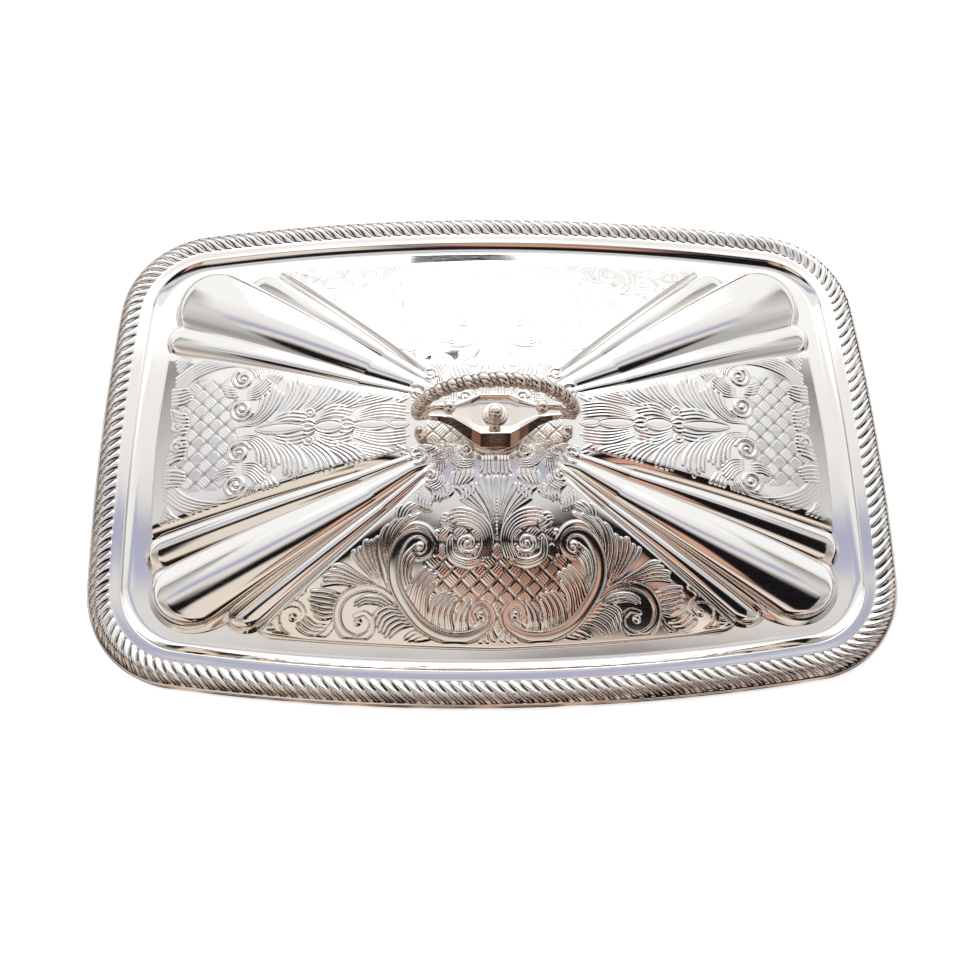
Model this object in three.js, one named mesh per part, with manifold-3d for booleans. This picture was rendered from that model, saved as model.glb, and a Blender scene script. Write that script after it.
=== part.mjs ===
// A silver-plated serving dish cover: a pressed and chased domed sheet with fluted corners, a
// gadrooned border, and a detachable rope-twist loop handle held by a threaded finial.
// Millimetres, +Z up. The cover stands on its rim at z = 0, centred on the origin, with the long
// sides along X and the handle's loop in the XZ plane.

import * as THREE from 'three';
import Module from 'manifold-3d';
import { mergeVertices } from 'three/addons/utils/BufferGeometryUtils.js';

// Plan of the rim: four bowed sides joined by round corners
const HALF_LENGTH = 172.5;
const HALF_WIDTH = 117.9;
const LONG_SIDE_BOW = 16.6;
const SHORT_SIDE_BOW = 6.5;
const CORNER_RADIUS = 44.2;

// Levels above the surface that the cover stands on
const CHANNEL_Z = 2.2;
const FLANGE_Z = 3.2;
const LEDGE_Z = 5.2;
const DOME_RISE = 19.3;
const EDGE_RISE = 5;
const SHEET = 1.2;
const SEAT_Z = CHANNEL_Z + DOME_RISE;
const SEAT_RADIUS = 15;

// Dome: how it falls to the foot, and the grooves, flutes and pillowed panel edges in it
const DOME_POWER = 2.6;
const WALL_RUN = 7;
const GROOVE_DEPTH = 2.5;
const GROOVE_RUN_IN = 25;
const PANEL_ROLL = 5;
const FLUTE_CAMBER = 0.17;

// Foot of the dome in the first quarter, from the X axis round to the Y axis
const END_PANEL_FOOT = [146.8, 0];
const FOOT_A = [144.9, 44.5];
const FOOT_B = [142.8, 59];
const FOOT_C = [112, 80];
const FOOT_D = [98.4, 84.6];
const FOOT_E = [92, 87.6];
const SIDE_PANEL_FOOT = [0, 93.8];
const SMALL_NOSE_BULGE = 2.8;
const LARGE_NOSE_BULGE = 14.8;
const PANEL_CORNER_BULGE = 0.6;

// Hub line, where the grooves start, in the same order
const HUB_END = [38, 0];
const HUB_A = [35, 14];
const HUB_B = [33, 16.4];
const HUB_C = [29, 20];
const HUB_D = [26.5, 21.6];
const HUB_E = [24, 22.8];
const HUB_SIDE = [0, 27];

// Gadrooned border: its lobes lean round the rim, with fat heads inside and thin tails outside
const LOBES = 220;
const LOBE_SLANT = 0.67;
const GADROON_HEAD = 10.7;
const GADROON_TAIL = 1.3;
const GADROON_BED_Z = 3.35;
const GADROON_TOP = [[4.2, 5.7, 0.9], [8, 7, 1.6], [GADROON_HEAD, 5.3, 1.4]];
const BORDER_JOINT = 0.1;

// Rim sections as [distance in from the outer edge, height]
const COVE_END = 19.5;
const RIM_TOP = [[COVE_END, CHANNEL_Z], [16.4, 2.97], [13.4, LEDGE_Z], [11.2, LEDGE_Z],
  [10.9, FLANGE_Z], [0.5, FLANGE_Z]];
const RIM_UNDER = [[0.5, 2.2], [11.6, 2.2], [11.9, 4], [13, 4], [16, 1.9], [COVE_END, 1]];
const RIM_WIRE = [[0.7, 0], [0, 1], [0.35, 2.05], [3, 2.05], [3.4, 0.9], [2.8, 0]];

// Handle: rope-twist loop over a boat-shaped saddle on a round moulded foot
const LOOP_RADIUS = 32;
const LOOP_CENTRE_Z = 28.5;
const ROPE_RADIUS = 3.2;
const ROPE_END_RADIUS = 2.5;
const ROPE_STRANDS = 3;
const ROPE_TWISTS = 4.25;
const STRAND_RELIEF = 0.1;
const ROPE_SIDES = 12;
const ROPE_STEPS = 52;
const ROPE_OVERRUN = 3 * Math.PI / 180;
const ROPE_NOSE = 0.55;
const ROPE_NOSE_GROWTH = 8;
const SADDLE_BASE_Z = 24.5;
const SADDLE_DISH = 2.6;
const SADDLE_FULL_HALF = 7.2;
const SADDLE_LEAST_HALF = 1.2;
const BOSS_RADIUS = 7.8;
const BOSS_TOP_Z = 28.7;
const BALL_RADIUS = 2.9;
const BALL_PLACE = [18.8, 36.9];
const NECK_RADIUS = 1.6;
const NECK_PATH = [[25.2, 32.7], [25.6, 35], [23.2, 37.2], BALL_PLACE];

// Stud, nuts and washers on the vertical axis
const STUD_RADIUS = 1.95;
const STUD_BASE_Z = 16;
const STUD_TIP_Z = 33.6;
const THREAD_HOLE = 2.1;
const CLEAR_HOLE = 2.3;
const WASHER_RADIUS = 9;
const WASHER_THICKNESS = 1;
const NUT_RADIUS = 4.04;
const NUT_HEIGHT = 2.2;
const COLLAR_HEIGHT = 1.5;
const ROUND_SIDES = 24;
const FIT_GAP = 0.1;

const silverPlate = { color: 0xdcdad6, roughness: 0.12, metalness: 1 };
const warmPlate = { color: 0xd9cfc4, roughness: 0.14, metalness: 1 };
const brass = { color: 0xb79a5e, roughness: 0.3, metalness: 1 };

const wasm = await Module();
wasm.setup();
const model = new THREE.Group();

/** Add a named piece to the model. */
function addPiece(name, geometry, finish) {
  const mesh = new THREE.Mesh(geometry, new THREE.MeshStandardMaterial(finish));
  mesh.name = name;
  model.add(mesh);
}

/** Point at a fraction of the way from one plan point to another. */
function between(from, to, fraction) {
  return from.map((value, axis) => value + (to[axis] - value) * fraction);
}

/** Distance between two plan points. */
function span(from, to) {
  return Math.hypot(to[0] - from[0], to[1] - from[1]);
}

/** Signed volume of an indexed closed mesh. */
function signedVolume(points, index) {
  let six = 0;
  for (let i = 0; i < index.length; i += 3) {
    const [a, b, c] = [points[index[i]], points[index[i + 1]], points[index[i + 2]]];
    six += a.dot(b.clone().cross(c));
  }
  return six / 6;
}

/** Closed solid through a row of equal sections, either a full ring or capped at both ends. */
function sectionSolid(sections, ring) {
  const sides = sections[0].length;
  const points = sections.flat();
  const index = [];
  const count = ring ? sections.length : sections.length - 1;
  for (let i = 0; i < count; i += 1) {
    const here = i * sides;
    const next = ((i + 1) % sections.length) * sides;
    for (let j = 0; j < sides; j += 1) {
      const k = (j + 1) % sides;
      index.push(here + j, next + j, next + k, here + j, next + k, here + k);
    }
  }
  if (!ring) {
    for (const [start, turn] of [[0, 1], [points.length - sides, -1]]) {
      const middle = new THREE.Vector3();
      for (let j = 0; j < sides; j += 1) middle.add(points[start + j]);
      points.push(middle.divideScalar(sides));
      for (let j = 0; j < sides; j += 1) {
        const edge = [start + j, start + (j + 1) % sides];
        index.push(points.length - 1, ...(turn > 0 ? edge : edge.reverse()));
      }
    }
  }
  if (signedVolume(points, index) < 0) {
    for (let i = 0; i < index.length; i += 3) index.splice(i, 2, index[i + 1], index[i]);
  }
  const geometry = new THREE.BufferGeometry().setFromPoints(points);
  geometry.setIndex(index);
  return geometry;
}

/** Turned solid from a closed [radius, height] profile. */
function turned(profile, sides = ROUND_SIDES) {
  const points = profile.map(([radius, height]) => new THREE.Vector2(radius, height));
  if (profile[0][0] > 0) points.push(points[0].clone());
  return new THREE.LatheGeometry(points, sides).rotateX(Math.PI / 2);
}

/** Manifold solid from a closed geometry. */
function solidOf(geometry) {
  const bare = geometry.clone();
  bare.deleteAttribute('normal');
  bare.deleteAttribute('uv');
  const merged = mergeVertices(bare, 1e-4);
  return new wasm.Manifold(new wasm.Mesh({
    numProp: 3,
    vertProperties: new Float32Array(merged.attributes.position.array),
    triVerts: new Uint32Array(merged.index.array),
  }));
}

/** Geometry from a manifold solid. */
function geometryOf(solid) {
  const mesh = solid.getMesh();
  const geometry = new THREE.BufferGeometry();
  geometry.setAttribute('position', new THREE.BufferAttribute(mesh.vertProperties, 3));
  geometry.setIndex(new THREE.BufferAttribute(mesh.triVerts, 1));
  return geometry;
}

// Rim outline

/** Centre of the corner arc that touches both bowed sides from inside. */
function cornerCentre(longCentre, longRadius, shortCentre, shortRadius) {
  const reachLong = longRadius - CORNER_RADIUS;
  const reachShort = shortRadius - CORNER_RADIUS;
  const gap = span(longCentre, shortCentre);
  const along = (reachLong ** 2 - reachShort ** 2 + gap ** 2) / (2 * gap);
  const off = Math.sqrt(reachLong ** 2 - along ** 2);
  const [ux, uy] = [0, 1].map((axis) => (shortCentre[axis] - longCentre[axis]) / gap);
  return [longCentre[0] + along * ux + off * uy, longCentre[1] + along * uy - off * ux];
}

/** Arcs of one quarter of the rim, from the X axis to the Y axis. */
function quarterArcs() {
  const longRadius = (HALF_LENGTH ** 2 + LONG_SIDE_BOW ** 2) / (2 * LONG_SIDE_BOW);
  const shortRadius = (HALF_WIDTH ** 2 + SHORT_SIDE_BOW ** 2) / (2 * SHORT_SIDE_BOW);
  const longCentre = [0, HALF_WIDTH - longRadius];
  const shortCentre = [HALF_LENGTH - shortRadius, 0];
  const corner = cornerCentre(longCentre, longRadius, shortCentre, shortRadius);
  const start = Math.atan2(corner[1], corner[0] - shortCentre[0]);
  const end = Math.atan2(corner[1] - longCentre[1], corner[0]);
  return [
    { centre: shortCentre, radius: shortRadius, from: 0, to: start },
    { centre: corner, radius: CORNER_RADIUS, from: start, to: end },
    { centre: longCentre, radius: longRadius, from: end, to: Math.PI / 2 },
  ];
}

const ARCS = quarterArcs();
const ARC_LENGTHS = ARCS.map((arc) => arc.radius * (arc.to - arc.from));
const QUARTER_LENGTH = ARC_LENGTHS.reduce((sum, length) => sum + length);
const QUARTER_SIGNS = [[1, 1], [-1, 1], [-1, -1], [1, -1]];

/** Outer point and outward normal of the rim at an angle on one of its arcs. */
function frameOnArc(arc, angle) {
  const normal = [Math.cos(angle), Math.sin(angle)];
  return { point: arc.centre.map((value, axis) => value + arc.radius * normal[axis]), normal };
}

/** Rim frame square to a plan point in the first quarter. */
function frameNear([x, y]) {
  const [short, corner, long] = ARCS;
  const bearing = Math.atan2(y - corner.centre[1], x - corner.centre[0]);
  let arc = corner;
  if (bearing < corner.from) arc = short;
  if (bearing > corner.to) arc = long;
  return frameOnArc(arc, Math.atan2(y - arc.centre[1], x - arc.centre[0]));
}

/** Rim frame at a distance round the rim, anticlockwise from the +X axis. */
function frameAlong(distance) {
  const lap = 4 * QUARTER_LENGTH;
  const place = ((distance % lap) + lap) % lap;
  const quarter = Math.min(3, Math.floor(place / QUARTER_LENGTH));
  let along = place - quarter * QUARTER_LENGTH;
  if (quarter % 2) along = QUARTER_LENGTH - along;
  let which = 0;
  while (which < 2 && along > ARC_LENGTHS[which]) {
    along -= ARC_LENGTHS[which];
    which += 1;
  }
  const { point, normal } = frameOnArc(ARCS[which], ARCS[which].from + along / ARCS[which].radius);
  const sign = QUARTER_SIGNS[quarter];
  return { point: point.map((v, i) => v * sign[i]), normal: normal.map((v, i) => v * sign[i]) };
}

/** Point at a distance in from the rim's outer edge, at a height. */
function rimPoint(frame, inset, height) {
  const [x, y] = frame.point.map((value, axis) => value - inset * frame.normal[axis]);
  return new THREE.Vector3(x, y, height);
}

// Dome

/** Point on the arc from one foot point to the next that bulges outwards. */
function footArc(from, to, bulge, fraction) {
  if (bulge === 0) return between(from, to, fraction);
  const half = span(from, to) / 2;
  const radius = (half ** 2 + bulge ** 2) / (2 * bulge);
  const sweep = 2 * Math.asin(Math.min(1, half / radius));
  const out = [(to[1] - from[1]) / (2 * half), (from[0] - to[0]) / (2 * half)];
  const middle = between(from, to, 0.5);
  const angle = (fraction - 0.5) * sweep;
  const rise = radius * Math.cos(angle) - (radius - bulge);
  const shift = radius * Math.sin(angle);
  return [middle[0] + rise * out[0] - shift * out[1], middle[1] + rise * out[1] + shift * out[0]];
}

/** How far a panel's rounded edge has dropped, from 1 at the groove to 0 on the panel. */
function panelRoll(fromGroove) {
  const inward = Math.max(0, 1 - fromGroove / PANEL_ROLL);
  return 1 - Math.sqrt(1 - inward ** 2);
}

// Spans of the first quarter; `edge` names the side of a panel half that meets a groove
const SPANS = [
  { hub: [HUB_END, HUB_A], foot: [END_PANEL_FOOT, FOOT_A], bulge: 0.3, steps: 4, edge: 'last' },
  { hub: [HUB_A, HUB_B], foot: [FOOT_A, FOOT_B], bulge: SMALL_NOSE_BULGE, steps: 4, flute: true },
  { hub: [HUB_B, HUB_C], foot: [FOOT_B, FOOT_C], bulge: LARGE_NOSE_BULGE, steps: 8, flute: true },
  { hub: [HUB_C, HUB_D], foot: [FOOT_C, FOOT_D], bulge: SMALL_NOSE_BULGE, steps: 4, flute: true },
  { hub: [HUB_D, HUB_E], foot: [FOOT_D, FOOT_E], bulge: PANEL_CORNER_BULGE, steps: 2, edge: 'first' },
  { hub: [HUB_E, HUB_SIDE], foot: [FOOT_E, SIDE_PANEL_FOOT], bulge: 0.9, steps: 6 },
];
const WALL_STEPS = [0, 1.6, 4, 8];
const CROWN_STEPS = [0.3, 0.62];

/** Height of the dome at a fraction across a span and a distance in from its foot. */
function domeHeight(part, across, foot, hub, inward) {
  const run = span(foot, hub);
  const place = between(foot, hub, inward / run);
  const reach = Math.hypot(...place) / Math.hypot(...foot);
  const crown = EDGE_RISE + (DOME_RISE - EDGE_RISE) * (1 - reach ** DOME_POWER);
  const groove = GROOVE_DEPTH * Math.min(1, (run - inward) / GROOVE_RUN_IN);
  const sides = [0, 1].map((end) => between(part.foot[end], part.hub[end], inward / run));
  const width = span(...sides);
  let relief = 0;
  if (part.flute) relief = FLUTE_CAMBER * width * 4 * across * (1 - across) - groove;
  if (part.edge === 'first') relief = -groove * panelRoll(across * width);
  if (part.edge === 'last') relief = -groove * panelRoll((1 - across) * width);
  const wall = Math.sin(Math.PI / 2 * Math.min(1, inward / WALL_RUN));
  return CHANNEL_Z + wall * (crown + relief);
}

/** Top line of the sheet from the stud hole out to the rim, at a fraction across a span. */
function sheetTop(part, across) {
  const foot = footArc(...part.foot, part.bulge, across);
  const hub = between(...part.hub, across);
  const run = span(foot, hub);
  const bearing = Math.atan2(hub[1], hub[0]);
  const onSeat = (radius) => {
    return new THREE.Vector3(radius * Math.cos(bearing), radius * Math.sin(bearing), SEAT_Z);
  };
  const inwards = [...WALL_STEPS, ...CROWN_STEPS.map((share) => run * share), run];
  const dome = inwards.reverse().map((inward) => {
    const place = between(foot, hub, inward / run);
    return new THREE.Vector3(...place, domeHeight(part, across, foot, hub, inward));
  });
  const frame = frameNear(foot);
  const rim = RIM_TOP.map(([inset, height]) => rimPoint(frame, inset, height));
  return { top: [onSeat(CLEAR_HOLE), onSeat(SEAT_RADIUS), ...dome, ...rim], frame };
}

/** Closed section of the sheet at a fraction across a span. */
function sheetSection(part, across) {
  const { top, frame } = sheetTop(part, across);
  const under = RIM_UNDER.map(([inset, height]) => rimPoint(frame, inset, height));
  const dome = top.slice(0, -RIM_TOP.length).reverse();
  const inside = dome.map((point) => new THREE.Vector3(point.x, point.y, point.z - SHEET));
  return [...top, ...under, ...inside];
}

/** Copy a first-quarter section into another quarter. */
function mirrored(section, [sx, sy]) {
  return section.map((point) => new THREE.Vector3(point.x * sx, point.y * sy, point.z));
}

/** Repeat the first quarter's sections round the whole cover. */
function allQuarters(sectionAt) {
  const quarter = [];
  for (const part of SPANS) {
    for (let step = 0; step < part.steps; step += 1) quarter.push(sectionAt(part, step / part.steps));
  }
  quarter.push(sectionAt(SPANS[SPANS.length - 1], 1));
  const last = quarter.length - 1;
  return QUARTER_SIGNS.flatMap((signs, turn) => {
    const order = turn % 2 ? [...quarter].reverse() : quarter;
    return order.slice(0, last).map((section) => mirrored(section, signs));
  });
}

/** Pressed and chased sheet of the cover. */
function coverShell() {
  return sectionSolid(allQuarters(sheetSection), true);
}

/** Wire soldered under the edge, which the cover rests on. */
function rimWire() {
  const sectionAt = (part, across) => {
    const frame = frameNear(footArc(...part.foot, part.bulge, across));
    return RIM_WIRE.map(([inset, height]) => rimPoint(frame, inset, height));
  };
  return sectionSolid(allQuarters(sectionAt), true);
}

/** One stamped length of gadrooned border, between two distances round the rim. */
function gadroonLength(from, to) {
  const steps = LOBES;
  const sections = [];
  for (let step = 0; step <= steps; step += 1) {
    const along = from + (to - from) * step / steps;
    const valley = step % 2;
    const place = (inset, height) => {
      return rimPoint(frameAlong(along + LOBE_SLANT * (GADROON_HEAD - inset)), inset, height);
    };
    sections.push([
      place(GADROON_TAIL, GADROON_BED_Z),
      ...GADROON_TOP.map(([inset, height, drop]) => place(inset, height - drop * valley)),
      place(GADROON_HEAD, GADROON_BED_Z),
    ]);
  }
  return sectionSolid(sections, false);
}

// Handle

/** Rope-twist loop: a lobed section that turns as it goes round half a circle. */
function ropeGrip() {
  const sections = [];
  const sweep = Math.PI + 2 * ROPE_OVERRUN;
  for (let step = 0; step <= ROPE_STEPS; step += 1) {
    const part = step / ROPE_STEPS;
    const angle = -ROPE_OVERRUN + sweep * part;
    const closing = Math.min(1, ROPE_NOSE + ROPE_NOSE_GROWTH * Math.min(part, 1 - part));
    const swell = ROPE_END_RADIUS + (ROPE_RADIUS - ROPE_END_RADIUS) * Math.sin(Math.PI * part);
    const section = [];
    for (let side = 0; side < ROPE_SIDES; side += 1) {
      const round = 2 * Math.PI * side / ROPE_SIDES;
      const lay = ROPE_STRANDS * (round - 2 * Math.PI * ROPE_TWISTS * part);
      const radius = swell * closing * (1 + STRAND_RELIEF * Math.cos(lay));
      const out = LOOP_RADIUS + radius * Math.cos(round);
      section.push(new THREE.Vector3(
        out * Math.cos(angle),
        radius * Math.sin(round),
        LOOP_CENTRE_Z + out * Math.sin(angle),
      ));
    }
    sections.push(section);
  }
  return sectionSolid(sections, false);
}

// Saddle stations: [X, half width at the rim, height of the rim, half width below, height there]
const SADDLE_STATIONS = [
  [0, 9.3, 30, 11.8, SADDLE_BASE_Z],
  [7, 8.7, 30, 11.2, SADDLE_BASE_Z],
  [10.5, 6.6, 31, 8.8, 25.4],
  [14, 4.7, 32.4, 6.6, 27.4],
  [18, 2.7, 33, 4.6, 28.9],
  [23, 1.9, 32, 3, 29.8],
  [29.2, 1.4, 31.3, 1.9, 29.8],
];

/** Section of the saddle at a signed station: outer faces, dished top, flat underside. */
function saddleSection(x, topHalf, topZ, lowHalf, lowZ) {
  const fullness = (topHalf - SADDLE_LEAST_HALF) / (SADDLE_FULL_HALF - SADDLE_LEAST_HALF);
  const dish = topZ - SADDLE_DISH * Math.min(1, fullness);
  const inner = topHalf * 0.8;
  const half = [[lowHalf * 0.55, lowZ], [lowHalf, lowZ], [topHalf, topZ], [inner, (topZ + dish) / 2]];
  const far = half.map(([y, z]) => new THREE.Vector3(x, y, z));
  const near = [...half].reverse().map(([y, z]) => new THREE.Vector3(x, -y, z));
  return [...far, new THREE.Vector3(x, 0, dish), ...near];
}

/** Boat-shaped saddle with flat facets in front and behind, bored for the stud. */
function handleSaddle() {
  const right = SADDLE_STATIONS.map(([x, ...rest]) => saddleSection(x, ...rest));
  const left = SADDLE_STATIONS.slice(1).reverse().map(([x, ...rest]) => saddleSection(-x, ...rest));
  const body = solidOf(sectionSolid([...left, ...right], false));
  const boss = solidOf(turned([[0, SADDLE_BASE_Z + 1], [BOSS_RADIUS, SADDLE_BASE_Z + 1],
    [BOSS_RADIUS, BOSS_TOP_Z - 1], [BOSS_RADIUS - 1.2, BOSS_TOP_Z], [0, BOSS_TOP_Z]]));
  const bore = solidOf(turned([[0, SADDLE_BASE_Z - 2], [CLEAR_HOLE, SADDLE_BASE_Z - 2], [CLEAR_HOLE, 32],
    [0, 32]]));
  return geometryOf(body.add(boss).subtract(bore));
}

/** Round foot of the handle with three mouldings. */
function handleFoot() {
  const low = SEAT_Z + FIT_GAP;
  return turned([[CLEAR_HOLE, low], [14.4, low], [14.7, low + 0.5], [14.2, low + 1], [13.4, low + 1.2],
    [13.6, low + 1.6], [13, low + 2.1], [12.2, low + 2.2], [12.1, low + 2.7], [CLEAR_HOLE, low + 2.7]]);
}

/** Scroll bracket between the saddle's arm and the loop, ending inwards in a ball volute. */
function scrollBracket(side) {
  const [ballX, ballZ] = BALL_PLACE;
  const path = new THREE.CatmullRomCurve3(NECK_PATH.map(([x, z]) => new THREE.Vector3(side * x, 0, z)));
  const section = new THREE.Shape();
  section.absarc(0, 0, NECK_RADIUS, 0, 2 * Math.PI);
  const neck = new THREE.ExtrudeGeometry(section, { steps: 8, curveSegments: 4, extrudePath: path });
  const ball = new THREE.SphereGeometry(BALL_RADIUS, 14, 9).translate(side * ballX, 0, ballZ);
  return geometryOf(solidOf(neck).add(solidOf(ball)));
}

// Fixings on the axis

/** Threaded stud that the handle drops over. */
function handleStud() {
  return turned([[0, STUD_BASE_Z], [STUD_RADIUS - 0.4, STUD_BASE_Z], [STUD_RADIUS, STUD_BASE_Z + 0.4],
    [STUD_RADIUS, STUD_TIP_Z - 0.4], [STUD_RADIUS - 0.4, STUD_TIP_Z], [0, STUD_TIP_Z]]);
}

/** Wide washer against the underside of the sheet. */
function backingWasher() {
  const top = SEAT_Z - SHEET - FIT_GAP;
  const low = top - WASHER_THICKNESS;
  return turned([[CLEAR_HOLE, low], [WASHER_RADIUS, low], [WASHER_RADIUS, top], [CLEAR_HOLE, top]]);
}

/** Hexagonal nut that clamps the stud from below. */
function backingNut() {
  const top = SEAT_Z - SHEET - WASHER_THICKNESS - 2 * FIT_GAP;
  const low = top - NUT_HEIGHT;
  const hexagon = solidOf(turned([[0, low], [NUT_RADIUS, low], [NUT_RADIUS, top], [0, top]], 6));
  const bore = solidOf(turned([[0, low - 1], [THREAD_HOLE, low - 1], [THREAD_HOLE, top + 1], [0, top + 1]]));
  return geometryOf(hexagon.subtract(bore));
}

/** Domed collar under the finial knob. */
function finialCollar() {
  const low = BOSS_TOP_Z + FIT_GAP;
  const top = low + COLLAR_HEIGHT;
  return turned([[CLEAR_HOLE, low], [5.5, low], [5.9, low + 0.4], [5.7, low + 0.8], [4.6, low + 1.3],
    [3.8, top], [CLEAR_HOLE, top]]);
}

/** Finial knob, blind-threaded from below. */
function finialKnob() {
  const low = BOSS_TOP_Z + COLLAR_HEIGHT + 2 * FIT_GAP;
  return turned([[THREAD_HOLE, low], [3.1, low], [3.2, low + 0.6], [2.9, low + 1], [3.4, low + 1.7],
    [3.6, low + 2.5], [3.3, low + 3.5], [2.3, low + 4.3], [0, low + 4.7], [0, STUD_TIP_Z + 0.4],
    [THREAD_HOLE, STUD_TIP_Z + 0.4]]);
}

addPiece('cover_shell', coverShell(), silverPlate);
addPiece('rim_wire', rimWire(), silverPlate);
for (const [name, quarter] of [['gadroon_border_left', 1], ['gadroon_border_right', 3]]) {
  const from = quarter * QUARTER_LENGTH + BORDER_JOINT / 2;
  addPiece(name, gadroonLength(from, from + 2 * QUARTER_LENGTH - BORDER_JOINT), silverPlate);
}
addPiece('handle_stud', handleStud(), brass);
addPiece('backing_washer', backingWasher(), brass);
addPiece('backing_nut', backingNut(), brass);
addPiece('handle_foot', handleFoot(), warmPlate);
addPiece('handle_saddle', handleSaddle(), warmPlate);
addPiece('rope_grip', ropeGrip(), warmPlate);
addPiece('scroll_bracket_right', scrollBracket(1), warmPlate);
addPiece('scroll_bracket_left', scrollBracket(-1), warmPlate);
addPiece('finial_collar', finialCollar(), warmPlate);
addPiece('finial_knob', finialKnob(), warmPlate);

export default model;
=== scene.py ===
"""Domed serving dish cover in polished, chased silver plate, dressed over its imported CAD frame.

Plan coordinates are millimetres in the frame's own axes: +X along the long sides, +Z up, and the
rim's underside at zero. Meshes are written in metres.
"""

import logging
import math
from dataclasses import dataclass, field
from enum import Enum

import bpy
import numpy as np
from mathutils import Matrix

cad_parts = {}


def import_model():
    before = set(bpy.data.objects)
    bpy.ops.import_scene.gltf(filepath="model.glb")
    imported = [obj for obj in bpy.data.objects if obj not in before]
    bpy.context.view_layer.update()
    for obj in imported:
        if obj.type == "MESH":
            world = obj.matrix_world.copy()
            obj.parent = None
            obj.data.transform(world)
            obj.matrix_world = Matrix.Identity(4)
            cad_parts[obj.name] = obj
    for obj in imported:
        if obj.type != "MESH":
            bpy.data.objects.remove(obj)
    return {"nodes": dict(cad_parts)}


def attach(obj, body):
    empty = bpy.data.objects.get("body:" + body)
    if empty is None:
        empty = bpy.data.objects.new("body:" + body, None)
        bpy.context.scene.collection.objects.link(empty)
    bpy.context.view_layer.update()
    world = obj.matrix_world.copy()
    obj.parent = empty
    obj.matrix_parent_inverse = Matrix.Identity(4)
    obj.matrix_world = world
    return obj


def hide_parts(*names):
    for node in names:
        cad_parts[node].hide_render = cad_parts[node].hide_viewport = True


LOG = logging.getLogger("dish_cover")
MM = 0.001
QUARTERS = ((1, 1), (-1, 1), (-1, -1), (1, -1))


class Slot(Enum):
    """Material slots of the record."""

    SHEET = "silver_plate"
    CAST = "handle_plate"
    BRASS = "brass"


class Body(Enum):
    """Moving bodies of the record."""

    COVER = "cover"
    HANDLE = "handle"
    COLLAR = "collar"
    KNOB = "knob"


# Meshes


def grid_quads(rows: int, columns: int, close_rows: bool, close_columns: bool) -> np.ndarray:
    """Quads of a grid whose vertices are numbered row by row.

    Args:
        rows: Number of rows.
        columns: Number of columns.
        close_rows: Whether the last row joins the first.
        close_columns: Whether the last column joins the first.

    Returns:
        One row of four vertex numbers per quad.
    """
    row = np.arange(rows if close_rows else rows - 1)[:, None]
    column = np.arange(columns if close_columns else columns - 1)[None, :]
    down = (row + 1) % rows
    right = (column + 1) % columns
    corners = (row * columns + column, row * columns + right,
               down * columns + right, down * columns + column)
    return np.stack([np.broadcast_to(c, (row.size, column.size)).ravel() for c in corners], axis=1)


def surface_normals(grid: np.ndarray) -> np.ndarray:
    """Unit normals of a grid surface: the cross product of its two central differences.

    Args:
        grid: Points by row and column.

    Returns:
        Unit normals, turned to point up.
    """
    normals = np.cross(np.gradient(grid, axis=0), np.gradient(grid, axis=1))
    normals *= np.where(normals[..., 2:].sum() < 0, -1.0, 1.0)
    return normals / np.maximum(np.linalg.norm(normals, axis=2, keepdims=True), 1e-12)


@dataclass
class Skin:
    """Vertices and quads of one piece, with values carried per vertex."""

    points: np.ndarray
    quads: np.ndarray
    values: dict[str, np.ndarray] = field(default_factory=dict)
    normals: np.ndarray | None = None

    @staticmethod
    def from_grid(grid: np.ndarray, close_rows: bool = False, close_columns: bool = False) -> "Skin":
        """Skin over a grid of points.

        Args:
            grid: Points by row and column.
            close_rows: Whether the last row joins the first.
            close_columns: Whether the last column joins the first.

        Returns:
            The skin, not yet turned outwards.
        """
        rows, columns = grid.shape[:2]
        return Skin(grid.reshape(-1, 3), grid_quads(rows, columns, close_rows, close_columns))

    def joined(self, other: "Skin") -> "Skin":
        """Points and quads of both skins as one piece."""
        return Skin(np.vstack([self.points, other.points]),
                    np.vstack([self.quads, other.quads + len(self.points)]))

    def facing(self, up: bool | None = None) -> "Skin":
        """Skin whose faces point outwards.

        Args:
            up: True or False for an open sheet that faces up or down, None for a closed piece.

        Returns:
            The same skin, with its faces turned over where they pointed the wrong way.
        """
        corner = self.points[self.quads]
        area = np.cross(corner[:, 2] - corner[:, 0], corner[:, 3] - corner[:, 1])
        if up is None:
            measure = np.einsum("ij,ij->", corner.mean(axis=1) - self.points.mean(axis=0), area)
            wrong = measure < 0
        else:
            wrong = (area[:, 2].sum() > 0) != up
        if wrong:
            self.quads = self.quads[:, ::-1]
        return self


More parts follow.
